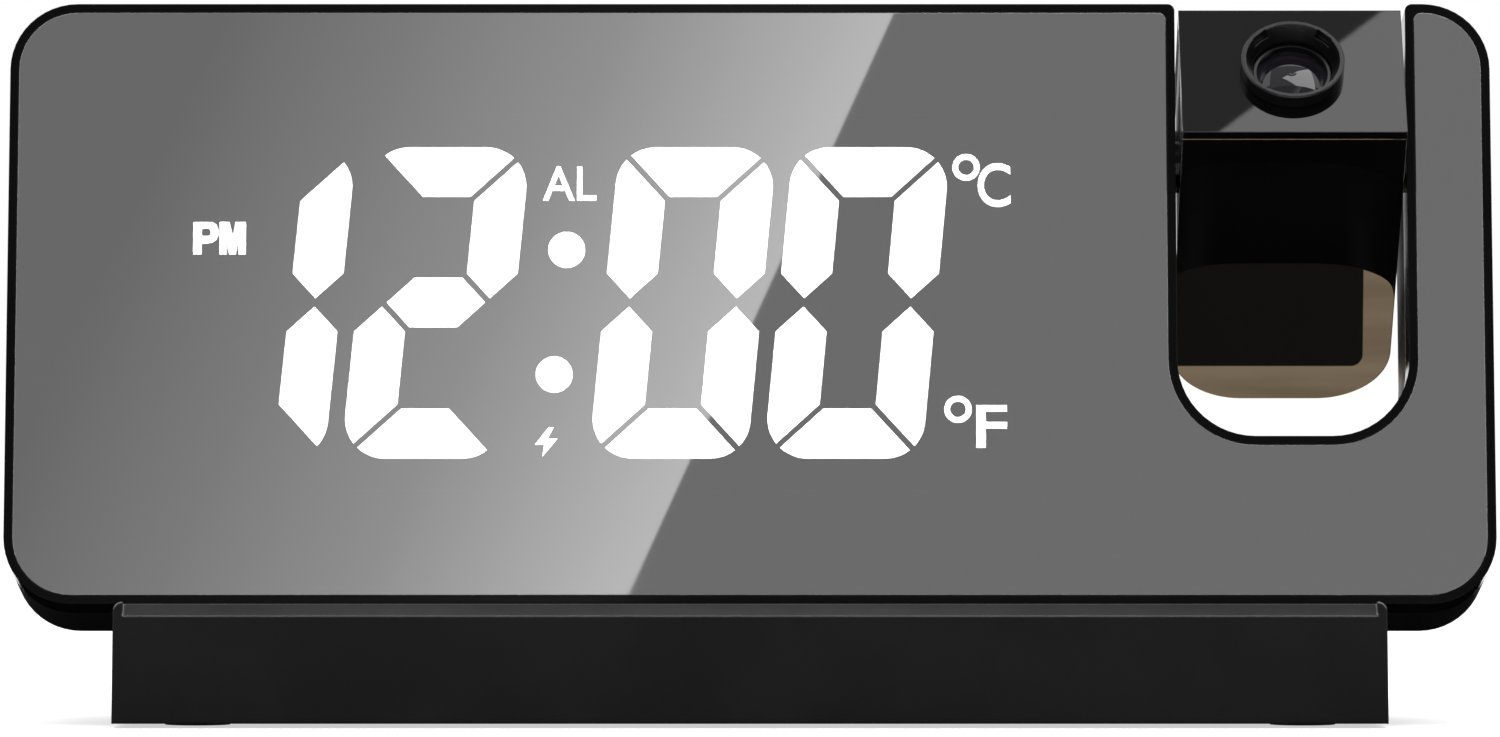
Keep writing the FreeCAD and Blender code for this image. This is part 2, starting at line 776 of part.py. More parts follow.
def make_rear_case():
    """Rear shell with the posts, sockets, button holes, grille and hinge seats."""
    body = new_body("rear_case")
    shell_depth = "case_depth - front_depth"
    pad(body, "front", "front_depth", shell_depth, case_outline("0", "mouth_corner"))
    hollow = f"{BACK_INNER} - front_depth"
    pocket(body, "front", "front_depth", hollow, case_outline("case_wall"))
    posts = [(across, along, "post_radius") for across, along in CASE_POSTS]
    pad(body, "front", "front_depth", hollow, *posts)
    sinks = [(across, along, HEAD_HOLE) for across, along in CASE_POSTS]
    pocket(body, "front", "case_depth", "screw_sink", *sinks, towards=-1)
    holes = [(across, along, SCREW_HOLE) for across, along in CASE_POSTS]
    pocket(body, "front", "front_depth", f"{SCREW_SEAT} - front_depth", *holes)
    standoffs = [(across, along, "standoff_radius") for across, along in BOARD_POSTS]
    pad(body, "front", MAIN_BACK, f"{BACK_INNER} - {MAIN_BACK}", *standoffs)
    pilots = [(across, along, "screw_radius") for across, along in BOARD_POSTS]
    pocket(body, "front", MAIN_BACK, f"{BACK_INNER} - {MAIN_BACK}", *pilots)
    for button in BUTTONS.values():
        hole = pill(f"{button} * button_pitch", BUTTON_RISE, "button_length", "button_height")
        pocket(body, "front", BACK_INNER, "back_wall", hole)
    pocket(body, "front", BACK_INNER, "back_wall", *grille_slots())
    jack_hole = rectangle(
        "jack_place - jack_side / 2 - port_fit",
        "jack_place + jack_side / 2 + port_fit",
        f"{PORT_FLOOR} - port_fit",
        f"{PORT_FLOOR} + jack_side + port_fit",
    )
    usb_hole = rectangle(
        "usb_place - usb_width / 2 - port_fit",
        "usb_place + usb_width / 2 + port_fit",
        f"{PORT_FLOOR} - port_fit",
        f"{PORT_FLOOR} + usb_height + port_fit",
    )
    pocket(body, "front", BACK_INNER, "back_wall", jack_hole, usb_hole)
    seat_front = "front_depth + seat_gap"
    seats = rectangle("jack_place - seat_jack_far", "jack_place - seat_jack_near", seat_front, BACK_INNER)
    far_seats = rectangle("usb_place + seat_usb_near", "usb_place + seat_usb_far", seat_front, BACK_INNER)
    rise = "port_rise - board_thick - case_wall"
    pad(body, "top", f"{CASE_BOTTOM} + case_wall", rise, seats, far_seats)
    bosses = [(place, "base_screw_depth", "post_radius") for place in BASE_SCREWS]
    pad(body, "top", f"{CASE_BOTTOM} + case_wall", "base_boss", *bosses)
    pilots = [(place, "base_screw_depth", "screw_radius") for place in BASE_SCREWS]
    pocket(body, "top", CASE_BOTTOM, "case_wall + base_boss", *pilots)
    slot = pill("snooze_place", "snooze_depth", "snooze_length", "snooze_width")
    pocket(body, "top", f"{CASE_TOP} - case_wall", "case_wall", slot)
    seat = (PIVOT_DEPTH, PIVOT_RISE, "pin_head")
    pad(body, "side", f"{BAY_LEFT} - case_wall", "pin_seat", seat, towards=-1)
    pad(body, "side", f"{BAY_RIGHT} + case_wall", "pin_seat", seat)
    bore = (PIVOT_DEPTH, PIVOT_RISE, "pin_radius")
    pocket(body, "side", f"{BAY_LEFT} - case_wall - pin_seat", "case_wall + pin_seat", bore)
    pocket(body, "side", BAY_RIGHT, "case_wall + pin_seat", bore)
    in_case(body, "rear_case")


def make_case_screws():
    """Six screws from the back through both halves of the case."""
    length = f"{SCREW_SEAT} - {FLOOR_BACK} - screw_short"
    screws = [screw("y", (across, SCREW_SEAT, along), length, -1) for across, along in CASE_POSTS]
    in_case(group(*screws), "case_screws")


# Display

def slanted(across, along):
    """Point of a digit, leaned over by its slant."""
    return Vector(across + along * math.tan(math.radians(value("digit_slant"))), 0, along)


def prism(points, start, depth):
    wire = Part.makePolygon([*points, points[0]])
    solid = Part.Face(wire).extrude(Vector(0, depth, 0))
    solid.translate(Vector(0, start, 0))
    return solid


def bar_outlines():
    """The seven bars of one digit about its middle, with mitred ends."""
    half_width = value("digit_width") / 2
    half_height = value("digit_height") / 2
    bar = value("bar_width")
    gap = value("bar_gap") * math.sqrt(0.5)
    right = half_width - bar / 2
    upper_end = half_height - bar / 2
    outlines = {}
    half = bar / 2
    for name, centre in (("top", upper_end), ("middle", 0), ("bottom", -upper_end)):
        tips = right - gap
        outlines[name] = [
            (-tips, centre),
            (-tips + half, centre - half),
            (tips - half, centre - half),
            (tips, centre),
            (tips - half, centre + half),
            (-tips + half, centre + half),
        ]
    for name, turn in (("top", 1), ("bottom", -1)):
        edge = turn * half_height
        inner = turn * (half_height - bar)
        outer = half_width - gap
        outlines[name] = [
            (-outer, edge),
            (outer, edge),
            (outer - bar, inner),
            (bar - outer, inner),
        ]
    for side, across in (("left", -1), ("right", 1)):
        for name, up in (("upper", 1), ("lower", -1)):
            outlines[f"{name}_{side}"] = [
                (across * half_width, up * (half_height - gap)),
                (across * (half_width - bar), up * (half_height - bar - gap)),
                (across * (half_width - bar), up * (gap + half)),
                (across * right, up * gap),
                (across * half_width, up * (gap + half)),
            ]
    return outlines


LIT = {
    "hour_tens_digit": ["upper_right", "lower_right"],
    "hour_units_digit": ["top", "upper_right", "middle", "lower_left", "bottom"],
    "minute_tens_digit": ["top", "upper_left", "upper_right", "lower_left", "lower_right", "bottom"],
    "minute_units_digit": ["top", "upper_left", "upper_right", "lower_left", "lower_right", "bottom"],
}


def digit_middles():
    tens = value("minute_tens_place")
    pitch = value("digit_pitch")
    hours = tens - value("colon_pitch")
    middles = [hours - pitch, hours, tens, tens + pitch]
    return dict(zip(LIT, middles))


def bar_solids(middle, wanted, depth):
    """Light guides of some of a digit's bars, with the digit's outer corners rounded."""
    start = value("guide_start")
    half_width = value("digit_width") / 2
    half_height = value("digit_height") / 2
    square = [(-1, -1), (1, -1), (1, 1), (-1, 1)]
    corners = [slanted(x * half_width, z * half_height) for x, z in square]
    block = prism(corners, start, depth)
    upright = [e for e in block.Edges if abs(e.tangentAt(e.FirstParameter).y) > 0.9]
    block = block.makeFillet(value("digit_round"), upright)
    solids = []
    for name, outline in bar_outlines().items():
        if name in wanted:
            points = [slanted(x, z) for x, z in outline]
            solid = prism(points, start, depth).common(block)
            solid.translate(Vector(middle, 0, value(DISPLAY_RISE)))
            solids.extend(solid.Solids)
    return solids


def shape_feature(name, solids):
    item = document.addObject("Part::Feature", name)
    item.Shape = Part.makeCompound(solids)
    return item


def make_digits():
    """White light guides of the four digits: the lit bars by digit, the dark ones together."""
    dark = []
    depth = value("guide_thick")
    for name, middle in digit_middles().items():
        in_case(shape_feature(name, bar_solids(middle, LIT[name], depth)), name)
        rest = [bar for bar in bar_outlines() if bar not in LIT[name]]
        if name == "hour_tens_digit":
            rest = []
        dark.extend(bar_solids(middle, rest, depth))
    in_case(shape_feature("unlit_bars", dark), "unlit_bars")


COLON = [
    ("colon_place + colon_upper * tan(digit_slant)", f"{DISPLAY_RISE} + colon_upper"),
    ("colon_place - colon_lower * tan(digit_slant)", f"{DISPLAY_RISE} - colon_lower"),
]


def make_colon_dots():
    dots = [rod("y", (x, "guide_start", z), "colon_radius", "guide_thick") for x, z in COLON]
    in_case(group(*dots), "colon_dots")


# Middle and half size of the five indicator windows, from the middle of the display
WINDOWS = [
    ("letter_place", "letter_rise", "letter_half", "letter_half_rise"),
    ("alarm_place", "alarm_rise", "letter_half", "letter_half_rise"),
    ("celsius_place", "celsius_rise", "celsius_half", "celsius_half_rise"),
    ("fahrenheit_place", "0 - fahrenheit_drop", "fahrenheit_half", "fahrenheit_half_rise"),
    ("mains_place", "0 - mains_drop", "mains_half", "mains_half_rise"),
]


def window_blocks(depth):
    blocks = []
    for across, up, half_length, half_rise in WINDOWS:
        rise = f"{DISPLAY_RISE} + {up}"
        blocks.append(
            box(
                f"{across} - {half_length}",
                f"{across} + {half_length}",
                "guide_start",
                f"guide_start + {depth}",
                f"{rise} - {half_rise}",
                f"{rise} + {half_rise}",
            )
        )
    return blocks


def make_indicator_windows():
    """Diffusers behind the small signs beside the digits."""
    in_case(group(*window_blocks("guide_thick")), "indicator_windows")


def make_display_reflector():
    """Black block with a cell for every bar, dot and window, on a lip behind the case floor."""
    block = box(
        "reflector_left * -1",
        "reflector_right",
        "guide_start",
        REFLECTOR_BACK,
        f"{DISPLAY_RISE} - reflector_half",
        f"{DISPLAY_RISE} + reflector_half",
    )
    lip = box(
        "(reflector_left + reflector_lip) * -1",
        "reflector_right + reflector_lip",
        FLOOR_BACK,
        f"{FLOOR_BACK} + lip_thick",
        f"{DISPLAY_RISE} - reflector_half - reflector_lip",
        f"{DISPLAY_RISE} + reflector_half + reflector_lip",
    )
    cells = []
    for name, middle in digit_middles().items():
        wanted = LIT[name] if name == "hour_tens_digit" else list(bar_outlines())
        cells.extend(bar_solids(middle, wanted, value("reflector_depth")))
    bars = shape_feature("bar_cells", cells)
    dots = [rod("y", (x, "guide_start", z), "colon_radius", "reflector_depth") for x, z in COLON]
    in_case(cut(join(block, lip), bars, *dots, *window_blocks("reflector_depth")), "display_reflector")


def make_display_board():
    board = box(
        "(reflector_left + reflector_lip) * -1",
        f"{BAY_LEFT} - case_wall - pin_seat - pin_head_thick - display_clear",
        REFLECTOR_BACK,
        f"{REFLECTOR_BACK} + board_thick",
        f"{DISPLAY_RISE} - reflector_half - reflector_lip",
        f"{DISPLAY_RISE} + reflector_half + reflector_lip",
    )
    in_case(group(board), "display_board")


# Electronics

def make_main_board():
    board = box(
        "main_left * -1",
        "main_right",
        MAIN_FRONT,
        MAIN_BACK,
        f"{CASE_BOTTOM} + main_lower",
        f"{CASE_TOP} - main_upper",
    )
    holes = [rod("y", (x, MAIN_FRONT, z), SCREW_HOLE, "board_thick") for x, z in BOARD_POSTS]
    in_case(cut(board, *holes), "main_board")


def make_board_screws():
    screws = []
    for across, along in BOARD_POSTS:
        length = f"board_thick + {BACK_INNER} - {MAIN_BACK} - screw_short"
        screws.append(screw("y", (across, MAIN_FRONT, along), length, 1))
    in_case(group(*screws), "board_screws")


def make_control_chip():
    rise = f"{DISPLAY_RISE} - chip_drop"
    chip = box(
        "chip_side / -2",
        "chip_side / 2",
        f"{MAIN_FRONT} - chip_thick",
        MAIN_FRONT,
        f"{rise} - chip_side / 2",
        f"{rise} + chip_side / 2",
    )
    in_case(group(chip), "control_chip")


def make_tact_switches():
    """Five switches under the back buttons and one under the snooze bar."""
    half = "switch_side / 2"
    switches = []
    for button in BUTTONS.values():
        across = f"{button} * button_pitch"
        base = box(
            f"{across} - {half}",
            f"{across} + {half}",
            MAIN_BACK,
            f"{SWITCH_TOP} - plunger_rise",
            f"{BUTTON_RISE} - {half}",
            f"{BUTTON_RISE} + {half}",
        )
        foot = (across, f"{SWITCH_TOP} - plunger_rise", BUTTON_RISE)
        plunger = rod("y", foot, "plunger_radius", "plunger_rise")
        switches.append(join(base, plunger))
    top = f"({SNOOZE_UNDER} - snooze_travel - press_gap)"
    base = box(
        f"snooze_place - {half}",
        f"snooze_place + {half}",
        f"{MAIN_FRONT} - snooze_switch_depth",
        MAIN_FRONT,
        f"{CASE_TOP} - main_upper - snooze_switch_rise",
        f"{top} - plunger_rise",
    )
    foot = ("snooze_place", f"{MAIN_FRONT} - snooze_switch_depth / 2", f"{top} - plunger_rise")
    plunger = rod("z", foot, "snooze_plunger", "plunger_rise")
    switches.append(join(base, plunger))
    in_case(group(*switches), "tact_switches")


def make_speaker():
    """Round buzzer behind the grille."""
    rise = f"{CASE_BOTTOM} + speaker_rise"
    front = f"{BACK_INNER} - speaker_depth"
    frame = rod("y", (SPEAKER_ACROSS, front, rise), "speaker_radius", "speaker_depth")
    rear = (SPEAKER_ACROSS, f"{front} - magnet_depth", rise)
    magnet = rod("y", rear, "speaker_radius * magnet_share", "magnet_depth")
    cone_space = cone(
        "y",
        (SPEAKER_ACROSS, f"{BACK_INNER} - speaker_depth * cone_depth_share", rise),
        "speaker_radius * cone_share",
        "speaker_radius - speaker_rim",
        "speaker_depth * cone_depth_share",
    )
    in_case(cut(join(frame, magnet), cone_space), "speaker")


def make_power_board():
    board = box(
        "jack_place - port_board_left",
        "usb_place + port_board_right",
        "port_board_front",
        f"{BACK_INNER} - port_board_gap",
        f"{PORT_FLOOR} - board_thick",
        PORT_FLOOR,
    )
    in_case(group(board), "power_board")


def make_dc_jack():
    """Low-voltage inlet: a square body with a round bore and a centre pin."""
    middle = f"{PORT_FLOOR} + jack_side / 2"
    back = "(case_depth - port_inset)"
    body = box(
        "jack_place - jack_side / 2",
        "jack_place + jack_side / 2",
        f"{back} - jack_length",
        back,
        PORT_FLOOR,
        f"{PORT_FLOOR} + jack_side",
    )
    floor = f"{back} - jack_length"
    bore = rod("y", ("jack_place", f"{floor} + jack_floor", middle), "jack_bore", "jack_length")
    pin = rod("y", ("jack_place", f"{floor} + pin_foot", middle), "jack_pin", "jack_length - pin_short")
    in_case(join(cut(body, bore), pin), "dc_jack")


def make_usb_port():
    """Charging outlet: a sheet-metal shell round a contact tongue."""
    back = "(case_depth - port_inset)"
    body = box(
        "usb_place - usb_width / 2",
        "usb_place + usb_width / 2",
        f"{back} - usb_length",
        back,
        PORT_FLOOR,
        f"{PORT_FLOOR} + usb_height",
    )
    hollow = box(
        "usb_place - usb_width / 2 + usb_wall",
        "usb_place + usb_width / 2 - usb_wall",
        f"{back} - usb_length + usb_floor",
        f"{back} + usb_wall",
        f"{PORT_FLOOR} + usb_wall",
        f"{PORT_FLOOR} + usb_height - usb_wall",
    )
    tongue = box(
        "usb_place - usb_width / 2 + usb_wall + tongue_inset",
        "usb_place + usb_width / 2 - usb_wall - tongue_inset",
        f"{back} - usb_length + tongue_foot",
        f"{back} - tongue_short",
        f"{PORT_FLOOR} + usb_height - usb_wall - tongue_thick - tongue_drop",
        f"{PORT_FLOOR} + usb_height - usb_wall - tongue_drop",
    )
    in_case(join(cut(body, hollow), tongue), "usb_port")


# Buttons

def make_back_buttons():
    """Five caps, each with a flange inside the back wall over its switch."""
    for name, button in BUTTONS.items():
        body = new_body(name)
        across = f"{button} * button_pitch"
        under = f"{BACK_INNER} - press_gap - button_flange"
        flange = pill(across, BUTTON_RISE, "button_length", "button_height", "button_lip")
        pad(body, "front", under, "button_flange", flange)
        cap = pill(across, BUTTON_RISE, "button_length", "button_height", "button_fit * -1")
        rise = "button_flange + press_gap + back_wall + button_proud"
        pad(body, "front", under, rise, cap)
        outer = value(f"{under} + {rise}")
        round_edges(body, "cap_round", lambda edge: abs(edge.BoundBox.YMin - outer) < 0.001)
        in_case(body, name)


def make_snooze_bar():
    """Long bar in the top wall."""
    body = new_body("snooze_bar")
    flange = pill("snooze_place", "snooze_depth", "snooze_length", "snooze_width", "snooze_lip")
    pad(body, "top", SNOOZE_UNDER, "button_flange", flange)
    cap = pill("snooze_place", "snooze_depth", "snooze_length", "snooze_width", "button_fit * -1")
    rise = "button_flange + press_gap + case_wall + snooze_proud"
    pad(body, "top", SNOOZE_UNDER, rise, cap)
    upper = value(f"{SNOOZE_UNDER} + {rise}")
    round_edges(body, "cap_round", lambda edge: abs(edge.BoundBox.ZMin - upper) < 0.001)
    in_case(body, "snooze_bar")


# Hinge

def hinge_ends():
    """Left and right ends of the hinge: the bay's wall, and the way into the head."""
    return [(BAY_LEFT, 1), (BAY_RIGHT, -1)]


def along_hinge(wall, inward, start, end):
    """Foot and length of a piece on the hinge axis, from distances past the bay's wall."""
    first = f"({wall}) + ({start})" if inward > 0 else f"({wall}) - ({end})"
    return (first, PIVOT_DEPTH, PIVOT_RISE), f"({end}) - ({start})"


PIN_OUT = "(0 - case_wall - pin_seat)"
BOSS_END = "(side_gap + head_wall + boss_reach)"
WASHER_END = f"({BOSS_END} + washer_thick)"
CLIP_START = f"({WASHER_END} + boss_fit)"
PIN_END = f"({CLIP_START} + clip_thick + pin_end)"


def make_hinge_pins():
    """Steel pins, headed inside the case and reaching into the head."""
    pins = []
    for wall, inward in hinge_ends():
        foot, length = along_hinge(wall, inward, PIN_OUT, PIN_END)
        shaft = rod("x", foot, "pin_radius", length)
        foot, length = along_hinge(wall, inward, f"{PIN_OUT} - pin_head_thick", PIN_OUT)
        pins.append(join(shaft, rod("x", foot, "pin_head", length)))
    in_case(group(*pins), "hinge_pins")


def make_hinge_clips():
    """Retaining rings on the ends of the pins."""
    clips = []
    for wall, inward in hinge_ends():
        foot, length = along_hinge(wall, inward, CLIP_START, f"{CLIP_START} + clip_thick")
        clips.append(tube("x", foot, "washer_radius", "pin_radius", length))
    in_case(group(*clips), "hinge_clips")


def make_friction_washers():
    """Washers that turn with the head and hold it where it is put."""
    washers = []
    for side, inward in ((f"{HEAD_WIDTH} / -2 - side_gap", 1), (f"{HEAD_WIDTH} / 2 + side_gap", -1)):
        near = f"({side}) + {BOSS_END}" if inward > 0 else f"({side}) - {WASHER_END}"
        washers.append(tube("x", (near, "0", "0"), "washer_radius", "pin_radius + pin_fit", "washer_thick"))
    in_projector(group(*washers), "friction_washers")


# Projector head

def head_outline(inset, top):
    """Strip with two large round corners at its far end."""
    low = f"({inset}) - {HEAD_DOWN}"
    left = f"({inset}) - {HEAD_WIDTH} / 2"
    right = f"{HEAD_WIDTH} / 2 - ({inset})"
    corner = f"head_corner - ({inset})"
    return [(left, low, corner), (right, low, corner), (right, top), (left, top)]


def make_projector_shell():
    """Deep front half of the head, with the hinge bosses and four screw posts."""
    body = new_body("projector_shell")
    pad(body, "front", HEAD_FRONT, f"{HEAD_SPLIT} - {HEAD_FRONT}", head_outline("0", SHELL_TOP))
    front = f"{HEAD_FRONT} + head_wall"
    depth = f"{HEAD_SPLIT} - ({front})"
    pocket(body, "front", front, depth, head_outline("head_wall", SHELL_TOP))
    posts = [(across, along, "screw_head") for across, along in HEAD_POSTS]
    pad(body, "front", front, depth, *posts)
    holes = [(across, along, "screw_radius") for across, along in HEAD_POSTS]
    pocket(body, "front", front, depth, *holes)
    reach = "side_gap - boss_fit + head_wall + boss_reach"
    boss = ("0", "0", "hinge_boss")
    hole = ("0", "0", "pin_radius + pin_fit")
    left = f"{HEAD_WIDTH} / -2 - side_gap + boss_fit"
    right = f"{HEAD_WIDTH} / 2 + side_gap - boss_fit"
    pad(body, "side", left, reach, boss)
    pad(body, "side", right, reach, boss, towards=-1)
    pocket(body, "side", left, reach, hole)
    pocket(body, "side", right, reach, hole, towards=-1)
    in_projector(body, "projector_shell")


def make_projector_lid():
    """Shallow back half of the head."""
    body = new_body("projector_lid")
    pad(body, "front", HEAD_SPLIT, "lid_depth", head_outline("0", SHELL_TOP))
    depth = "lid_depth - head_wall"
    pocket(body, "front", HEAD_SPLIT, depth, head_outline("head_wall", SHELL_TOP))
    posts = [(across, along, "screw_head + head_wall / 2") for across, along in HEAD_POSTS]
    pad(body, "front", HEAD_SPLIT, depth, *posts)
    holes = [(across, along, SCREW_HOLE) for across, along in HEAD_POSTS]
    pocket(body, "front", HEAD_SPLIT, "lid_depth", *holes)
    sinks = [(across, along, HEAD_HOLE) for across, along in HEAD_POSTS]
    pocket(body, "front", HEAD_BACK, "head_thick + head_screw_sink", *sinks, towards=-1)
    in_projector(body, "projector_lid")


def make_projector_screws():
    screws = []
    for across, along in HEAD_POSTS:
        seat = f"{HEAD_BACK} - head_thick - head_screw_sink"
        screws.append(screw("y", (across, seat, along), "head_screw_length", -1))
    in_projector(group(*screws), "projector_screws")


def make_end_plate():
    """Flat plate across the lens end of the head."""
    body = new_body("end_plate")
    plate = rectangle(f"{HEAD_WIDTH} / -2", f"{HEAD_WIDTH} / 2", HEAD_FRONT, HEAD_BACK)
    pad(body, "top", SHELL_TOP, "end_thick", plate)
    pocket(body, "top", SHELL_TOP, "end_thick", ("0", LENS_LINE, f"{NECK} + ring_fit"))
    in_projector(body, "end_plate")


def make_lens_barrel():
    """Fixed tube that guides the lens cell, on a flange across the head."""
    foot = ("0", LENS_LINE, "barrel_foot")
    bore = "cell_radius + cell_fit"
    outer = rod("z", foot, f"{bore} + barrel_wall", f"{SHELL_TOP} - barrel_foot")
    flange = box(
        f"{HEAD_WIDTH} / -2 + head_wall",
        f"{HEAD_WIDTH} / 2 - head_wall",
        f"{HEAD_FRONT} + head_wall",
        f"{HEAD_BACK} - head_wall",
        "barrel_foot",
        "barrel_foot + barrel_flange",
    )
    hole = rod("z", foot, bore, f"{SHELL_TOP} - barrel_foot")
    in_projector(cut(join(outer, flange), hole), "lens_barrel")


def make_lens_cell():
    """Sliding tube that carries the lens."""
    foot = ("0", LENS_LINE, CELL_FOOT)
    outer = rod("z", foot, "cell_radius", "cell_length")
    bore = rod("z", foot, "lens_radius - lens_seat", "cell_length")
    seat_foot = ("0", LENS_LINE, f"{CELL_TOP} - lens_edge - lens_bulge")
    seat = rod("z", seat_foot, "lens_radius", "lens_edge + lens_bulge")
    in_projector(cut(outer, bore, seat), "lens_cell")


def make_projection_lens():
    """Plano-convex lens: a disc under a slice of a large ball."""
    low = f"{CELL_TOP} - lens_edge - lens_bulge"
    disc = rod("z", ("0", LENS_LINE, low), "lens_radius", "lens_edge + lens_bulge")
    ball = document.addObject("Part::Sphere", "ball")
    ball_radius = "((lens_radius ^ 2 + lens_bulge ^ 2) / (2 * lens_bulge))"
    ball.setExpression("Radius", bound(ball_radius))
    put(ball, ("0", LENS_LINE, f"{CELL_TOP} - {ball_radius}"))
    lens = document.addObject("Part::MultiCommon", "lens")
    lens.Shapes = [disc, ball]
    in_projector(lens, "projection_lens")


def make_focus_ring():
    """Turning ring round the lens: a cup with a sloping wall, finger notches in it and a neck below."""
    neck_low = f"{SHELL_TOP} + ring_fit"
    low = f"{HEAD_UP} + ring_fit"
    top = f"{HEAD_UP} + ring_height"
    edge = f"{top} - ring_edge"
    inside = "(ring_radius - ring_rim)"
    neck = rod("z", ("0", LENS_LINE, neck_low), NECK, f"{low} - ({neck_low})")
    wall = rod("z", ("0", LENS_LINE, low), "ring_radius", f"{edge} - ({low})")
    rim = cone("z", ("0", LENS_LINE, edge), "ring_radius", "ring_radius - ring_edge", "ring_edge")
    bore = rod("z", ("0", LENS_LINE, neck_low), RING_BORE, f"{top} - ({neck_low})")
    cup = cone("z", ("0", LENS_LINE, f"{top} - cup_depth"), RING_BORE, inside, "cup_depth")
    notches = []
    for turn in range(int(value("grip_count"))):
        notch = box(RING_BORE, inside, "grip_notch / -2", "grip_notch / 2", f"{top} - grip_sink", top)
        angle = f"(turn_step * {turn} + turn_step / 2)".replace("turn_step", "(360 / grip_count)")
        notch.Placement = Placement(Vector(), Rotation(Vector(0, 0, 1), value(angle)))
        notch.setExpression("Placement.Rotation.Angle", bound(angle))
        across, along = (f"{RING_BORE} * {way}({angle})" for way in ("cos", "sin"))
        side_x, side_y = (f"grip_notch / 2 * {way}({angle})" for way in ("sin", "cos"))
        corner = (f"{across} + {side_x}", f"{LENS_LINE} + {along} - {side_y}", f"{top} - grip_sink")
        notches.append(put(notch, corner))
    in_projector(cut(join(neck, wall, rim), bore, cup, *notches), "focus_ring")


def make_light_tunnel():
    """Square duct from the lamp to the barrel."""
    half = "tunnel_width / 2"
    deep = "tunnel_depth / 2"
    low = "barrel_foot - tunnel_length"
    outer = box(f"0 - {half}", half, f"{LENS_LINE} - {deep}", f"{LENS_LINE} + {deep}", low, "barrel_foot")
    inner = box(
        f"tunnel_wall - {half}",
        f"{half} - tunnel_wall",
        f"{LENS_LINE} - {deep} + tunnel_wall",
        f"{LENS_LINE} + {deep} - tunnel_wall",
        low,
        "barrel_foot",
    )
    in_projector(cut(outer, inner), "light_tunnel")


def make_image_slide():
    """Small display that the lamp shines through."""
    half = "tunnel_width / 2 - tunnel_wall"
    deep = "tunnel_depth / 2 - tunnel_wall"
    slide = box(
        f"0 - ({half})",
        half,
        f"{LENS_LINE} - ({deep})",
        f"{LENS_LINE} + ({deep})",
        "slide_rise",
        "slide_rise + slide_thick",
    )
    in_projector(group(slide), "image_slide")


def make_projector_board():
    low = "barrel_foot - tunnel_length - board_thick"
    board = box(
        f"{HEAD_WIDTH} / -2 + head_wall",
        f"{HEAD_WIDTH} / 2 - head_wall",
        f"{HEAD_FRONT} + head_wall",
        f"{HEAD_SPLIT}",
        low,
        f"{low} + board_thick",
    )
    in_projector(group(board), "projector_board")


def make_projector_lamp():
    """Lamp with a domed top."""
    low = "barrel_foot - tunnel_length"
    stem = rod("z", ("0", LENS_LINE, low), "lamp_radius", "lamp_radius * lamp_stem")
    dome = document.addObject("Part::Sphere", "dome")
    dome.setExpression("Radius", bound("lamp_radius"))
    put(dome, ("0", LENS_LINE, f"{low} + lamp_radius * lamp_stem"))
    in_projector(join(stem, dome), "projector_lamp")


# Base

def base_prism(name, corners, half_length):
    """Side profile of the base, drawn in world axes and run from end to end."""
    body = new_body(name)
    pad(body, "side", f"({half_length}) * -1", f"2 * ({half_length})", corners)
    return body


def make_base_shell():
    """Wedge that the case stands on, open underneath, with a sloping ledge along its front."""
    proud = "0 - ledge_run"
    corners = [
        (base_y(proud, BASE_FOOT), "foot_drop"),
        ("base_depth / 2", "foot_drop"),
        ("base_depth / 2", "base_back", "base_back_round"),
        (base_y("case_depth", CASE_BOTTOM), base_z("case_depth", CASE_BOTTOM)),
        (base_y(proud, CASE_BOTTOM), base_z(proud, CASE_BOTTOM)),
    ]
    outer = base_prism("base_outer", corners, BASE_SIDE)
    back = value("base_depth / 2")

    def back_corner(edge):
        box_ = edge.BoundBox
        return box_.XLength < 0.001 and box_.YMin > back - 0.01 and box_.ZLength > 1

    round_edges(outer, "base_round", back_corner)
    ledge_low = f"{CASE_BOTTOM} - ledge_drop"
    clear = "0 - 2 * ledge_run"
    ledge = [
        (base_y(proud, ledge_low), base_z(proud, ledge_low)),
        (base_y("0", CASE_BOTTOM), base_z("0", CASE_BOTTOM)),
        (base_y(clear, CASE_BOTTOM), base_z(clear, CASE_BOTTOM)),
        (base_y(clear, ledge_low), base_z(clear, ledge_low)),
    ]
    ledge_half = f"{BASE_SIDE} - cheek"
    pocket(outer, "side", f"({ledge_half}) * -1", f"2 * ({ledge_half})", ledge)
    under = f"{CASE_BOTTOM} - base_wall"
    hollow = [
        (base_y("base_wall - ledge_run", "0"), "0"),
        ("base_depth / 2 - base_wall", "0"),
        ("base_depth / 2 - base_wall", "base_back - base_wall"),
        (base_y("case_depth", under), base_z("case_depth", under)),
        (base_y("base_wall", under), base_z("base_wall", under)),
        (
            base_y("base_wall - ledge_run", f"{under} - ledge_drop"),
            base_z("base_wall - ledge_run", f"{under} - ledge_drop"),
        ),
    ]
    inner = base_prism("base_hollow", hollow, f"{BASE_SIDE} - base_wall")
    posts = []
    for across, back_place in BASE_POSTS:
        posts.append(rod("z", (across, back_place, CUP_TOP), "post_radius", "base_height"))
    pilots = []
    for across, back_place in BASE_POSTS:
        pilots.append(rod("z", (across, back_place, CUP_TOP), "screw_radius", "pilot_depth"))
    holes = []
    for place in BASE_SCREWS:
        y, z = base_y("base_screw_depth", under), base_z("base_screw_depth", under)
        hole = rod("z", (place, y, z), SCREW_HOLE, "base_wall * 2")
        hole.Placement = Placement(Vector(), Rotation(Vector(-1, 0, 0), value("lean_angle")))
        hole.setExpression("Placement.Rotation.Angle", bound("lean_angle"))
        holes.append(put(hole, (place, y, z)))
    space = cut(inner, *posts)
    in_base(cut(outer, space, *pilots, *holes), "base_shell")


def make_base_screws():
    """Screws up from the base into the case."""
    screws = []
    for place in BASE_SCREWS:
        foot = (place, "base_screw_depth", f"{CASE_BOTTOM} - base_wall")
        screws.append(screw("z", foot, "base_wall + case_wall + base_boss - base_screw_short", 1))
    in_case(group(*screws), "base_screws")


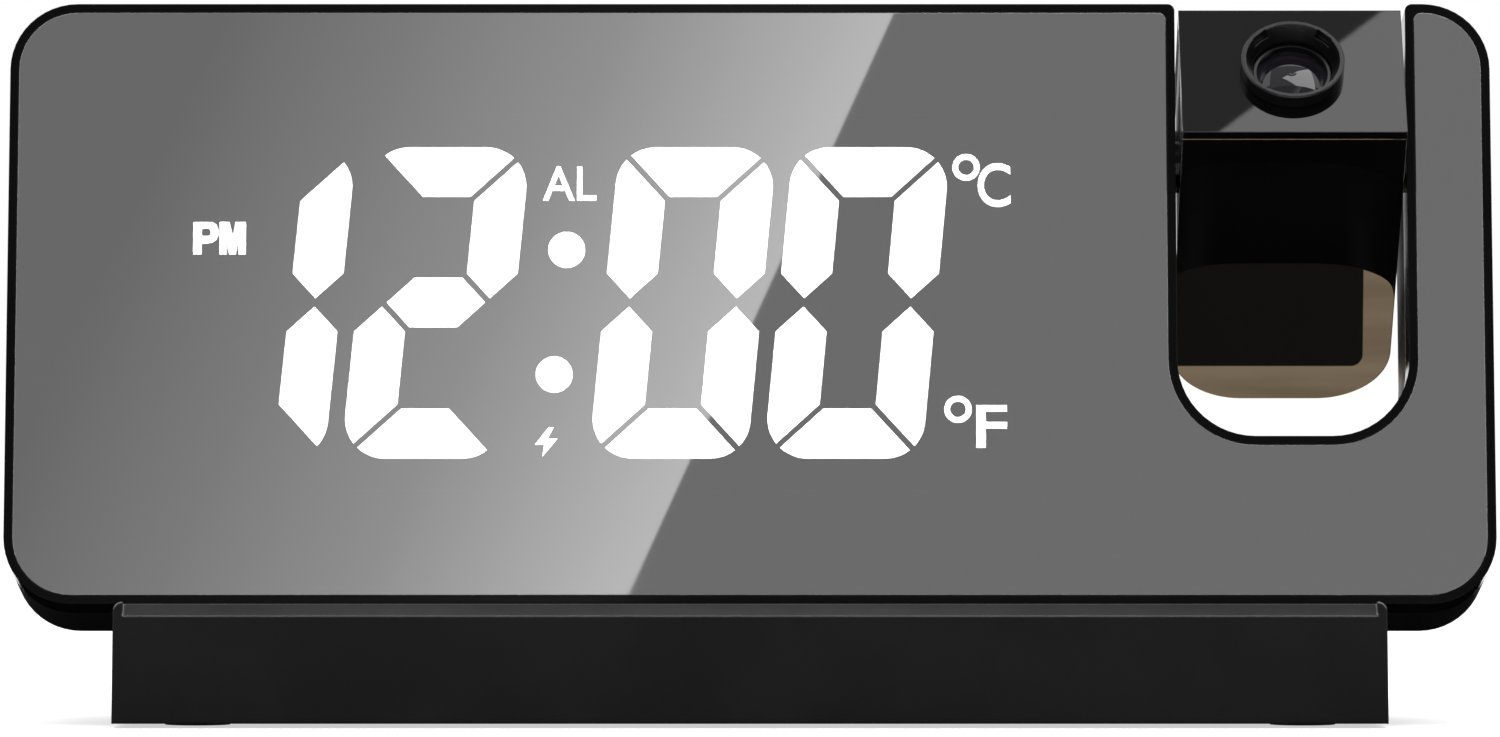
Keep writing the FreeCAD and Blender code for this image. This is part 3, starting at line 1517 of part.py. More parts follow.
def make_base_plate():
    """Flat underside, with seats for the feet and an opening for the battery door."""
    body = new_body("base_plate")
    left = f"base_wall + plate_fit - {BASE_SIDE}"
    right = f"{BASE_SIDE} - base_wall - plate_fit"
    front = f"{base_y('base_wall - ledge_run', '0')} + {PLATE_TOP} * tan(lean_angle) + plate_fit"
    back = "base_depth / 2 - base_wall - plate_fit"
    pad(body, "top", "foot_drop", "plate_thick", rectangle(left, right, front, back))
    cups = [(across, along, f"{HEAD_HOLE} + cup_wall") for across, along in BASE_POSTS]
    pad(body, "top", "foot_drop", "plate_thick + cup_height", *cups)
    sinks = [(across, along, HEAD_HOLE) for across, along in BASE_POSTS]
    pocket(body, "top", "foot_drop", f"{SINK_TOP} - foot_drop", *sinks)
    feet = [(across, along, "foot_radius") for across, along in foot_places()]
    pocket(body, "top", "foot_drop", "foot_sink", *feet)
    holes = [(across, along, SCREW_HOLE) for across, along in BASE_POSTS]
    pocket(body, "top", SINK_TOP, f"{CUP_TOP} - {SINK_TOP}", *holes)
    door = rectangle(
        "cell_place - door_length / 2 - door_fit",
        "cell_place + door_length / 2 + door_fit",
        "door_place - door_width / 2 - door_fit",
        "door_place + door_width / 2 + door_fit",
    )
    pocket(body, "top", "foot_drop", "plate_thick", door)
    in_base(body, "base_plate")


def foot_places():
    places = []
    for across in ("foot_place * -1", "foot_place"):
        for along in ("foot_front * -1", "foot_back"):
            places.append((across, along))
    return places


def make_rubber_feet():
    feet = []
    for across, along in foot_places():
        feet.append(cone("z", (across, along, "0"), "foot_radius - foot_taper", "foot_radius", "foot_drop"))
        feet[-1] = join(feet[-1], rod("z", (across, along, "foot_drop"), "foot_radius", "foot_sink"))
    in_base(group(*feet), "rubber_feet")


def make_plate_screws():
    screws = []
    for across, along in BASE_POSTS:
        length = f"{CUP_TOP} - {SINK_TOP} + pilot_depth - plate_screw_short"
        screws.append(screw("z", (across, along, SINK_TOP), length, 1))
    in_base(group(*screws), "plate_screws")


def make_coin_holder():
    """Tray over the battery opening, its round well open downwards."""
    block = box(
        "cell_place - holder_length / 2",
        "cell_place + holder_length / 2",
        "door_place - holder_width / 2",
        "door_place + holder_width / 2",
        PLATE_TOP,
        f"{PLATE_TOP} + coin_thick + holder_roof",
    )
    well = rod("z", ("cell_place", "door_place", PLATE_TOP), "coin_radius + coin_fit", "coin_thick")
    in_base(cut(block, well), "coin_holder")


def make_coin_cell():
    rim = rod("z", ("cell_place", "door_place", PLATE_TOP), "coin_radius", "coin_thick - coin_step")
    top = ("cell_place", "door_place", f"{PLATE_TOP} + coin_thick - coin_step")
    can = rod("z", top, "coin_radius - coin_rim", "coin_step")
    in_base(join(rim, can), "coin_cell")


def make_battery_door():
    """Flush cover with a finger groove."""
    body = new_body("battery_door")
    outline = rectangle(
        "cell_place - door_length / 2",
        "cell_place + door_length / 2",
        "door_place - door_width / 2",
        "door_place + door_width / 2",
    )
    pad(body, "top", "foot_drop", "plate_thick", outline)
    outer = "cell_place + door_length / 2 - grip_inset"
    groove = rectangle(
        f"{outer} - grip_width",
        outer,
        "door_place - grip_length / 2",
        "door_place + grip_length / 2",
        "grip_width * grip_end",
    )
    pocket(body, "top", "foot_drop", "grip_depth", groove)
    in_base(body, "battery_door")


for make in [
    make_front_mirror,
    make_front_case,
    make_rear_case,
    make_case_screws,
    make_digits,
    make_colon_dots,
    make_indicator_windows,
    make_display_reflector,
    make_display_board,
    make_main_board,
    make_board_screws,
    make_control_chip,
    make_tact_switches,
    make_speaker,
    make_power_board,
    make_dc_jack,
    make_usb_port,
    make_back_buttons,
    make_snooze_bar,
    make_hinge_pins,
    make_hinge_clips,
    make_friction_washers,
    make_projector_shell,
    make_projector_lid,
    make_projector_screws,
    make_end_plate,
    make_lens_barrel,
    make_lens_cell,
    make_projection_lens,
    make_focus_ring,
    make_light_tunnel,
    make_image_slide,
    make_projector_board,
    make_projector_lamp,
    make_base_shell,
    make_base_screws,
    make_base_plate,
    make_rubber_feet,
    make_plate_screws,
    make_coin_holder,
    make_coin_cell,
    make_battery_door,
]:
    make()

document.recompute()
for item in document.Objects:
    if {"Invalid", "Error"} & set(item.State):
        raise RuntimeError(f"{item.Name} ({item.Label}) failed: {item.State}")
os.makedirs("parts", exist_ok=True)
for item in PARTS:
    if item.Shape.isNull() or not item.Shape.isValid():
        raise RuntimeError(f"{item.Label} has no sound shape")
    item.Shape.exportStep(f"parts/{item.Label}.step")
    print(f"{item.Label}: {len(item.Shape.Solids)} solids, {item.Shape.Volume:.1f} mm3")
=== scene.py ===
from math import cos, pi, radians, sin

import bmesh
import bpy
from mathutils import Matrix


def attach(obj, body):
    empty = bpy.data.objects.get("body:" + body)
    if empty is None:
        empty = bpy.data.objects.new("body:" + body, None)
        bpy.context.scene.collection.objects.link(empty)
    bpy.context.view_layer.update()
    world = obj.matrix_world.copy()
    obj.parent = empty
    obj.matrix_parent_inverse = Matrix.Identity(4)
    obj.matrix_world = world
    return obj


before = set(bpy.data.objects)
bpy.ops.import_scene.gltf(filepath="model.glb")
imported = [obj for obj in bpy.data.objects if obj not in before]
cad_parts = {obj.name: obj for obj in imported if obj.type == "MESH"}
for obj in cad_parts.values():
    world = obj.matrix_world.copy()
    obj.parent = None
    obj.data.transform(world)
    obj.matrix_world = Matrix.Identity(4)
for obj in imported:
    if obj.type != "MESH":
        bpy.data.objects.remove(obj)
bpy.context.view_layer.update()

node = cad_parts

# The base is a hollow charcoal shell moulded in one piece, with a step along its front that the case leans
# over. Its skin has the fine spark grain of the mould, and handling has polished its edges a little. Its
# upward faces are painted lighter for the lamp light on them, mottled like dust, and the edges that face up
# carry a painted highlight.


class Value:
    """One varying value of a finish, so that sums on it are written as Python."""

    def __init__(self, finish, socket):
        self.finish, self.socket = finish, socket

    def sum(self, kind, first, second):
        return self.finish.add("Math", {"operation": kind}, {0: first, 1: second})

    def __add__(self, other):
        return self.sum("ADD", self, other)

    def __radd__(self, other):
        return self.sum("ADD", other, self)

    def __sub__(self, other):
        return self.sum("SUBTRACT", self, other)

    def __rsub__(self, other):
        return self.sum("SUBTRACT", other, self)

    def __mul__(self, other):
        return self.sum("MULTIPLY", self, other)

    def __rmul__(self, other):
        return self.sum("MULTIPLY", other, self)

    def __truediv__(self, other):
        return self.sum("DIVIDE", self, other)

    def lower(self, other):
        return self.sum("MINIMUM", self, other)

    def higher(self, other):
        return self.sum("MAXIMUM", self, other)

    def spread(self, low, high, start=0.0, end=1.0):
        """Start at low and below, end at high and above, and smooth between them."""
        limits = {"Value": self, "From Min": low, "From Max": high, "To Min": start, "To Max": end}
        return self.finish.add("MapRange", {"interpolation_type": "SMOOTHSTEP"}, limits)


class Finish:
    """A procedural material with one principled shader."""

    def __init__(self, name, **plain):
        self.material = bpy.data.materials.new(name)
        self.material.use_nodes = True
        self.tree = self.material.node_tree
        self.shader = self.tree.nodes["Principled BSDF"]
        self.made = {}
        for socket, value in plain.items():
            self.set(socket.replace("_", " ").title().replace("Ior", "IOR"), value)
        self.at = self.add("TexCoord", out="Object")

    def set(self, socket, value):
        place = self.shader.inputs[socket]
        if isinstance(value, Value):
            self.tree.links.new(value.socket, place)
            self.made[socket] = value
        else:
            place.default_value = value

    def add(self, kind, settings=None, sockets=None, out=0):
        made = self.tree.nodes.new("ShaderNode" + kind)
        for name, value in (settings or {}).items():
            if name == "stops":
                for place, colour in value[1:-1]:
                    made.color_ramp.elements.new(place)
                for element, (place, colour) in zip(made.color_ramp.elements, value):
                    element.position, element.color = place, (*colour, 1)
            else:
                setattr(made, name, value)
        for name, value in (sockets or {}).items():
            if isinstance(value, Value):
                self.tree.links.new(value.socket, made.inputs[name])
            else:
                made.inputs[name].default_value = value
        return Value(self, made.outputs[out])

    def noise(self, scale, detail=3.0, stretch=(1, 1, 1)):
        turned = self.add("Mapping", {}, {"Vector": self.at, "Scale": stretch})
        return self.add("TexNoise", {}, {"Vector": turned, "Scale": scale, "Detail": detail}, "Fac")

    def mix(self, factor, first, second):
        """One colour over another: plain colours are given as three numbers."""
        first, second = [c if isinstance(c, Value) else (*c, 1) for c in (first, second)]
        return self.add("Mix", {"data_type": "RGBA"}, {0: factor, 6: first, 7: second}, 2)

    def worn(self, radius):
        """The normal with edges rounded off, and a mask of 1 along those edges."""
        rounded = self.add("Bevel", {"samples": 4}, {"Radius": radius})
        flat = self.add("NewGeometry", out="Normal")
        same = self.add("VectorMath", {"operation": "DOT_PRODUCT"}, {0: rounded, 1: flat}, "Value")
        return rounded, (1 - same).spread(0.01, 0.25)

    def relief(self, height, depth, rounded=None):
        settings = {"Height": height, "Distance": depth, "Strength": 1.0}
        if rounded:
            settings["Normal"] = rounded
        self.set("Normal", self.add("Bump", {}, settings))


def moulded(name, colour, rough, grain, depth, edge=0.0003, polish=0.5, **plain):
    """Moulded plastic: spark grain of a size and a depth, cloudy colour, faint smears and rubbed edges."""
    finish = Finish(name, **plain)
    cloud, skin, smear = finish.noise(60, 4), finish.noise(grain, 2), finish.noise(25, 3, (1, 1, 4))
    rounded, rubbed = finish.worn(edge)
    darker, lighter = [[c * k for c in colour] for k in (0.82, 1.2)]
    body = finish.mix(cloud.spread(0.35, 0.65), darker, lighter)
    finish.set("Base Color", finish.mix(rubbed * 0.6, body, [c * 1.9 + 0.004 for c in colour]))
    roughness = rough + (smear.spread(0.3, 0.7) - 0.5) * rough * 0.3 + (skin - 0.5) * rough * 0.2
    finish.set("Roughness", roughness - rubbed * rough * polish)
    finish.relief(skin, depth, rounded)
    return finish


def dress(finish, *names):
    for name in names:
        for place in node[name].material_slots:
            place.material = finish.material


BASE_EDGE = 0.0004
# Painted light on the base: a lighter colour for its upward faces, mottled like dust, and a pale grey for the
# highlight along its upper edges.
DUST_AND_TOP_LIGHT_COLOUR, EDGE_HIGHLIGHT_COLOUR = (0.021, 0.021, 0.022), (0.5, 0.5, 0.5)
charcoal = moulded(
    "base_charcoal",
    (0.004, 0.004, 0.0048),
    rough=0.42,
    grain=5200,
    depth=0.00002,
    edge=BASE_EDGE,
    polish=0.4,
    specular_ior_level=0.3,
)
rounded, rubbed = charcoal.worn(BASE_EDGE)
upward = charcoal.add("SeparateXYZ", {}, {0: rounded}, "Z")
# Faces that look up are painted lighter, mottled like dust, for the lamp light that falls on them.
dust_and_top_light = upward.spread(0.5, 0.7) * charcoal.noise(220, 4).spread(0.2, 0.6, 0.7, 1.0)
dusted_and_top_lit = charcoal.mix(dust_and_top_light, charcoal.made["Base Color"], DUST_AND_TOP_LIGHT_COLOUR)
# Edges that face up get a painted highlight in pale grey, for the lamp above them.
charcoal.set("Base Color", charcoal.mix(rubbed * upward.spread(0.25, 0.5), dusted_and_top_lit, EDGE_HIGHLIGHT_COLOUR))
dress(charcoal, "base_shell")
plain_charcoal = moulded("plate_charcoal", (0.009, 0.009, 0.01), 0.55, 4200, 0.00003)
dress(plain_charcoal, "base_plate", "battery_door", "coin_holder")

# Four feet of soft rubber are moulded apart and stuck in the cups under the base. Their skin is dull and a
# little dusty.
rubber = moulded("foot_rubber", (0.02, 0.02, 0.021), 0.85, 2600, 0.00004, polish=0.1)
dress(rubber, "rubber_feet")

# Every screw is steel. Those of the case, the base, the plate and the head are blackened. The ones inside,
# and the pins, clips and washers of the hinge, are left bright.


def metal(name, colour, rough, lines=(1, 1, 1), depth=0.000004):
    """Machined or drawn metal, with fine tool lines along one way, dull patches and bright edges."""
    finish = Finish(name, metallic=1.0)
    tool, patch = finish.noise(3000, 2, lines), finish.noise(140, 4)
    rounded, rubbed = finish.worn(0.0001)
    tone = finish.mix(patch.spread(0.3, 0.7), [c * 0.8 for c in colour], colour)
    finish.set("Base Color", finish.mix(rubbed, tone, [min(1.0, c * 1.5 + 0.02) for c in colour]))
    finish.set("Roughness", rough + (patch - 0.5) * 0.2 + (tool - 0.5) * 0.1)
    finish.relief(tool, depth, rounded)
    return finish


black_steel = metal("steel_black", (0.05, 0.05, 0.053), 0.38)
bright_steel = metal("steel_plain", (0.56, 0.55, 0.53), 0.3)
dress(black_steel, "case_screws", "base_screws", "plate_screws", "projector_screws")
dress(bright_steel, "board_screws", "hinge_pins", "hinge_clips", "friction_washers")

# The coin cell lies in its holder under the battery door. Its can is nickel on pressed steel, with fine lines
# left by the press.
nickel = metal("cell_steel", (0.68, 0.67, 0.64), 0.22, (1, 1, 0.2))
dress(nickel, "coin_cell")

# The front tray of the case is moulded in one piece from glossy black plastic. Its rim frames the mirror, and
# its underside is rounded.
gloss = moulded(
    "black_gloss",
    (0.0015, 0.0015, 0.0017),
    rough=0.08,
    grain=900,
    depth=0.000001,
    edge=0.00025,
    polish=0.2,
    specular_ior_level=0.2,
)
dress(gloss, "front_case")

# The panel over the whole front is clear acrylic with a thin metal film, let into the rim of the tray. It
# mirrors the room by day and lets the digits shine through. The film is shown on its front face alone.
LEAN = radians(11)
CASE_FOOT = -0.0279359
FILM_END, CLEAR_FROM = 0.0004, 0.0008
CLEAN_SKIN, SMUDGED_SKIN = 0.012, 0.05
LEAST_COVER, MOST_COVER = 0.7, 0.72
film = Finish("half_mirror", metallic=1.0)
smudge, ripple = film.noise(18, 5), film.noise(30, 2)
rounded, rubbed = film.worn(0.00008)
film.set("Base Color", film.mix(rubbed, (0.93, 0.93, 0.93), (1.0, 1.0, 1.0)))
film.set("Roughness", smudge.spread(0.45, 0.8, CLEAN_SKIN, SMUDGED_SKIN))
inward = (0, cos(LEAN), -sin(LEAN))
reach = film.add("VectorMath", {"operation": "DOT_PRODUCT"}, {0: film.at, 1: inward}, "Value")
depth = reach - CASE_FOOT * cos(LEAN)
coated = depth.spread(FILM_END, CLEAR_FROM, 1.0, 0.0)
film.set("Alpha", coated * smudge.spread(0.3, 0.8, LEAST_COVER, MOST_COVER))
film.relief(ripple, 0.0000004, rounded)
dress(film, "front_mirror")

# Each digit is a set of clear bars lit from behind, slanted a little, that fill the windows of the black
# reflector. The bars that are out stay dark. The two dots between hours and minutes are made the same way.
GLOW_STRENGTH = 5.0
lit = Finish("lit_white", roughness=0.5, emission_strength=GLOW_STRENGTH)
glow = lit.noise(90, 2)
lit.set("Base Color", lit.mix(glow, (0.8, 0.8, 0.8), (0.85, 0.85, 0.85)))
lit.set("Emission Color", lit.mix(glow.spread(0.3, 0.7), (0.96, 0.98, 1.0), (1.0, 1.0, 1.0)))
digits = ("hour_tens_digit", "hour_units_digit", "minute_tens_digit", "minute_units_digit")
dress(lit, *digits, "colon_dots")
unlit = moulded("unlit_guide", (0.0016, 0.0016, 0.0016), 0.7, 3000, 0.00001, specular_ior_level=0.1)
dress(unlit, "unlit_bars")
dark_window = moulded("masked_window", (0.0014, 0.0014, 0.0014), 0.8, 3000, 0.00001, specular_ior_level=0.1)
dress(dark_window, "indicator_windows")
dull_black = moulded("reflector_black", (0.0012, 0.0012, 0.0012), 0.9, 2500, 0.00002, specular_ior_level=0.0)
dress(dull_black, "display_reflector")

# The small signs beside the digits are openings in a black mask, lit from behind. PM and AL are letters, the
# two degree signs are a ring and a letter each, and the flash for mains power has straight sides.
case_front = Matrix.Translation((0, CASE_FOOT, 0)) @ Matrix.Rotation(pi / 2 - LEAN, 4, "X")
MM = 0.001
DISPLAY_MIDDLE = 0.05489
SIGN_DEPTH = 0.0021
SIGN_THICKNESS = 0.00016
RING_OUTER, RING_INNER = 0.00175, 0.0010
PM_MIDDLE, PM_RISE = -0.0673, 0.0083
FLASH_MIDDLE, FLASH_RISE = -0.02575, -0.0180
LETTER_BOLD = 0.01


def finished(name, mesh, finish, body):
    """A new piece from a bmesh, riding on a body."""
    data = bpy.data.meshes.new(name)
    mesh.to_mesh(data)
    mesh.free()
    piece = bpy.data.objects.new(name, data)
    bpy.context.scene.collection.objects.link(piece)
    data.materials.append(finish.material)
    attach(piece, body)
    return piece


def letters(words, width, height, depth, bold=0.0):
    """Words as a closed mesh, of a given width and height, about their own middle."""
    flat = bpy.data.curves.new(words, "FONT")
    flat.body, flat.extrude, flat.offset, flat.resolution_u = words, 0.5, bold, 6
    holder = bpy.data.objects.new(words, flat)
    bpy.context.scene.collection.objects.link(holder)
    bpy.context.view_layer.update()
    mesh = bmesh.new()
    data = bpy.data.meshes.new_from_object(holder.evaluated_get(bpy.context.evaluated_depsgraph_get()))
    mesh.from_mesh(data)
    bpy.data.objects.remove(holder)
    bpy.data.curves.remove(flat)
    bpy.data.meshes.remove(data)
    bmesh.ops.remove_doubles(mesh, verts=mesh.verts, dist=0.0001)
    low = [min(v.co[i] for v in mesh.verts) for i in range(3)]
    high = [max(v.co[i] for v in mesh.verts) for i in range(3)]
    bmesh.ops.translate(mesh, vec=[-(a + b) / 2 for a, b in zip(low, high)], verts=mesh.verts)
    size = [want / (b - a) for want, a, b in zip((width, height, depth), low, high)]
    bmesh.ops.scale(mesh, vec=size, verts=mesh.verts)
    bmesh.ops.recalc_face_normals(mesh, faces=mesh.faces)
    return mesh


def ring(outer, inner, depth):
    """A flat ring, about its own middle."""
    mesh = bmesh.new()
    middle, half = (outer + inner) / 2, (outer - inner) / 2
    for across, up in ((-half, -depth / 2), (half, -depth / 2), (half, depth / 2), (-half, depth / 2)):
        mesh.verts.new((middle + across, 0, up))
    corners = list(mesh.verts)
    edges = [mesh.edges.new((a, b)) for a, b in zip(corners, corners[1:] + corners[:1])]
    bmesh.ops.spin(mesh, geom=corners + edges, axis=(0, 0, 1), angle=2 * pi, steps=32, use_merge=True)
    bmesh.ops.recalc_face_normals(mesh, faces=mesh.faces)
    return mesh


def behind_mirror(mesh, middle, rise):
    """Lays a flat mesh just behind the mirror, about a point across and up from the display's middle."""
    place = case_front @ Matrix.Translation((middle, DISPLAY_MIDDLE + rise, -SIGN_DEPTH))
    bmesh.ops.transform(mesh, matrix=place, verts=mesh.verts)
    return mesh


def cut_out(outlines, depth):
    """Outlines in millimetres that meet along shared edges, as one closed piece about its middle level."""
    mesh = bmesh.new()
    for outline in outlines:
        mesh.faces.new([mesh.verts.new((across * MM, up * MM, -depth / 2)) for across, up in outline])
    bmesh.ops.remove_doubles(mesh, verts=mesh.verts, dist=0.000001)
    raised = bmesh.ops.extrude_face_region(mesh, geom=list(mesh.faces))["geom"]
    corners = [v for v in raised if isinstance(v, bmesh.types.BMVert)]
    bmesh.ops.translate(mesh, vec=(0, 0, depth), verts=corners)
    bmesh.ops.recalc_face_normals(mesh, faces=mesh.faces)
    return mesh


sign_lit = Finish("sign_white", roughness=0.5, emission_strength=GLOW_STRENGTH)
shade = sign_lit.noise(700, 2)
sign_lit.set("Base Color", sign_lit.mix(shade, (0.8, 0.8, 0.8), (0.85, 0.85, 0.85)))
sign_lit.set("Emission Color", sign_lit.mix(shade.spread(0.3, 0.7), (0.92, 0.95, 1.0), (1.0, 1.0, 1.0)))
for name, words, middle, rise, width, height in (
    ("alarm_sign", "AL", -0.0229, 0.0154, 0.0068, 0.00445),
    ("celsius_letter", "C", 0.0310, 0.0152, 0.0042, 0.0057),
    ("fahrenheit_letter", "F", 0.03055, -0.0160, 0.0039, 0.0055),
):
    mesh = behind_mirror(letters(words, width, height, SIGN_THICKNESS, LETTER_BOLD), middle, rise)
    finished(name, mesh, sign_lit, "case")
for name, middle, rise in (("celsius_ring", 0.02745, 0.0175), ("fahrenheit_ring", 0.0263, -0.0138)):
    mesh = behind_mirror(ring(RING_OUTER, RING_INNER, SIGN_THICKNESS), middle, rise)
    finished(name, mesh, sign_lit, "case")
P_BAR = [(-3.35, 2.1), (-2.25, 1.25), (-2.25, 0.3), (-2.25, -0.7), (-2.25, -2.1), (-3.35, -2.1)]
P_TOP = [(-3.35, 2.1), (-0.9, 2.1), (-0.4, 1.75), (-0.12, 1.1)]
P_TOP += [(-1.15, 0.5), (-1.15, 1.0), (-1.4, 1.25), (-2.25, 1.25)]
P_BOWL = [(-0.12, 1.1), (-0.12, 0.45), (-0.4, -0.2), (-0.9, -0.55), (-1.5, -0.7)]
P_BOWL += [(-2.25, -0.7), (-2.25, 0.3), (-1.35, 0.3), (-1.15, 0.5)]
M_TOP = [(0.0, 2.1), (1.25, 2.1), (1.7, 0.3), (2.0, 2.1), (3.35, 2.1)]
M_FEET = [(3.35, -2.1), (2.42, -2.1), (2.4, -0.4), (2.07, -2.1)]
M_FEET += [(1.22, -2.1), (0.85, -0.4), (0.92, -2.1), (0.0, -2.1)]
letters_cut = cut_out([P_BAR, P_TOP, P_BOWL, M_TOP + M_FEET], SIGN_THICKNESS)
finished("pm_sign", behind_mirror(letters_cut, PM_MIDDLE, PM_RISE), sign_lit, "case")
FLASH = [(0.3, 1.9), (-1.45, -0.35), (-0.25, -0.35), (-0.5, -1.9), (1.45, 0.45), (0.2, 0.45), (0.95, 1.9)]
flash = cut_out([FLASH], SIGN_THICKNESS)
finished("power_sign", behind_mirror(flash, FLASH_MIDDLE, FLASH_RISE), sign_lit, "case")

# The boards inside the case and the head are green glass laminate. The chip and the small switches are
# soldered on them, and the speaker sits behind the grille of the rear shell.
laminate = moulded("circuit_green", (0.012, 0.075, 0.03), 0.35, 2600, 0.00001, coat_weight=0.4)
dress(laminate, "display_board", "main_board", "power_board", "projector_board")
resin = moulded("chip_black", (0.012, 0.012, 0.013), 0.5, 4200, 0.00001)
dress(resin, "control_chip", "tact_switches")
cone_paper = moulded("speaker_grey", (0.09, 0.09, 0.095), 0.6, 2200, 0.00003)
dress(cone_paper, "speaker")

# The rear shell is moulded in satin black and held to the tray by six screws. It carries the grille, the two
# sockets and the buttons. The lid and the inner tubes of the head are moulded of the same black.
satin = moulded("black_satin", (0.011, 0.011, 0.012), 0.36, 4800, 0.000018)
dress(satin, "rear_case", "projector_lid", "lens_barrel", "light_tunnel")
dress(moulded("jack_black", (0.008, 0.008, 0.009), 0.45, 3600, 0.00001), "dc_jack")
dress(metal("port_steel", (0.62, 0.61, 0.6), 0.25, (0.2, 1, 1)), "usb_port")

# Five small buttons are moulded in a softer black and stand out of the rear shell over their switches. The
# long bar on the top is pressed for a snooze.
soft_black = moulded("button_black", (0.014, 0.014, 0.015), 0.5, 4200, 0.00002)
dress(soft_black, "mode_button", "alarm_button", "up_button", "down_button")
dress(soft_black, "projection_button", "snooze_bar")

# The use of each button is printed over it on the rear shell, in small grey letters of ink that lie a hair
# proud of the plastic.
print_ink = moulded("print_grey", (0.42, 0.42, 0.42), 0.6, 5200, 0.000002, 0.00005)
BUTTON_MARK_RISE, BACK_FACE, BUTTON_STEP = 0.08693, 0.0208, 0.013
LETTER_STEP, LETTER_HEIGHT, INK, INK_LIFT = 0.00155, 0.0017, 0.00004, 0.00001
words = ("MODE", "ALARM", "UP", "DOWN", "PROJECT")
for place, word in zip(range(-2, 3), words):
    mesh = letters(word, LETTER_STEP * len(word), LETTER_HEIGHT, INK)
    middle = (place * BUTTON_STEP, BUTTON_MARK_RISE, -BACK_FACE - INK / 2 - INK_LIFT)
    turned = case_front @ Matrix.Translation(middle)
    bmesh.ops.transform(mesh, matrix=turned @ Matrix.Rotation(pi, 4, "Y"), verts=mesh.verts)
    finished(word.lower() + "_mark", mesh, print_ink, "case")

# Each screw head in reach of a driver has a cross pressed in its middle. It is shown by a dark inlay that
# lies a hair proud of the head, a painted shade for the shade down in the cross.
recess = moulded("recess_painted_shade", (0.002, 0.002, 0.002), 0.7, 5000, 0.000002, 0.00005)
CROSS_REACH, CROSS_WIDTH, INLAY = 1.25, 0.3, 0.00003
CASE_SCREW_LEVEL, HEAD_SCREW_LEVEL, PLATE_SCREW_LEVEL = -0.0143, 0.0099, 0.0009
HEAD_MIDDLE, HEAD_TURN = (0.06865, -0.0034372, 0.0715298), radians(49.5)


def cross(place):
    """A cross about a point, facing along the place's z axis."""
    far, near = CROSS_REACH, CROSS_WIDTH
    quarter = [(near, near), (near, far), (-near, far), (-near, near), (-far, near), (-far, -near)]
    outline = quarter + [(-across, -up) for across, up in quarter]
    mesh = cut_out([outline], INLAY)
    rims = list(mesh.edges)
    bmesh.ops.bevel(mesh, geom=rims, offset=INLAY / 4, segments=1, profile=0.5, affect="EDGES", material=-1)
    bmesh.ops.transform(mesh, matrix=place @ Matrix.Translation((0, 0, INLAY / 2)), verts=mesh.verts)
    return mesh


head_place = Matrix.Translation(HEAD_MIDDLE) @ Matrix.Rotation(HEAD_TURN, 4, "X")
CASE_SCREWS = [(-86, 85.19), (-86, 23.79), (46, 85.19), (46, 23.79), (88.65, 85.19), (88.65, 23.79)]
for count, (across, up) in enumerate(CASE_SCREWS):
    seat = case_front @ Matrix.Translation((across * MM, up * MM, CASE_SCREW_LEVEL))
    place = seat @ Matrix.Rotation(pi, 4, "Y")
    finished(f"case_cross_{count}", cross(place), recess, "case")
HEAD_SCREWS = [(-10.55, 12.5), (10.55, 12.5), (-9.5, -25.2), (9.5, -25.2)]
for count, (across, along) in enumerate(HEAD_SCREWS):
    seat = head_place @ Matrix.Translation((across * MM, HEAD_SCREW_LEVEL, along * MM))
    place = seat @ Matrix.Rotation(-pi / 2, 4, "X")
    finished(f"head_cross_{count}", cross(place), recess, "projector")
PLATE_SCREWS = [(-60, -9), (-60, 13), (60, -9), (60, 13)]
for count, (across, along) in enumerate(PLATE_SCREWS):
    seat = Matrix.Translation((across * MM, along * MM, PLATE_SCREW_LEVEL))
    place = seat @ Matrix.Rotation(pi, 4, "X")
    finished(f"plate_cross_{count}", cross(place), recess, "case")

# The projector's head is a deep black shell, moulded in a polished tool until the desk and the sky show in
# it. It turns on two pins.
polished = moulded("head_black", (0.002, 0.002, 0.0022), 0.012, 700, 0.0000001, 0.0002, 0.1)
dress(polished, "projector_shell", "end_plate")

# The focus ring is a cup with finger notches in its sloping wall. The glass lens sits below it in a cell that
# turns with the ring, and the lamp and the slide are behind it in the head.
ring_plastic = moulded("ring_black", (0.004, 0.004, 0.0043), 0.22, 3800, 0.000004, 0.00015)
dress(ring_plastic, "focus_ring", "lens_cell")
glass = Finish("lens_glass", ior=1.6, coat_weight=0.5, coat_roughness=0.0)
bloom, wipe = glass.noise(120, 2), glass.noise(700, 3)
glass.set("Base Color", glass.mix(bloom.spread(0.3, 0.7), (0.004, 0.004, 0.007), (0.007, 0.005, 0.008)))
glass.set("Roughness", wipe.spread(0.5, 0.9, 0.004, 0.03))
dress(glass, "projection_lens")
clear = Finish("lamp_clear", roughness=0.08, ior=1.5, transmission_weight=0.8)
clear.set("Base Color", clear.mix(clear.noise(500, 2), (0.85, 0.88, 0.9), (0.95, 0.95, 0.95)))
dress(clear, "projector_lamp")
dress(moulded("slide_dark", (0.01, 0.011, 0.014), 0.15, 900, 0.000001), "image_slide")

# The camera stands level with the middle of the clock, straight in front of it and well back, with a long
# lens, as for a catalogue.
CAMERA_AWAY, CAMERA_HEIGHT = 1.2264, 0.0451
lens = bpy.data.cameras.new("camera")
lens.lens, lens.sensor_width, lens.clip_start, lens.clip_end = 229.37, 36, 0.05, 60
camera = bpy.data.objects.new("camera", lens)
camera.location, camera.rotation_euler = (0, -CAMERA_AWAY, CAMERA_HEIGHT), (pi / 2, 0, 0)
bpy.context.scene.collection.objects.link(camera)
bpy.context.scene.camera = camera

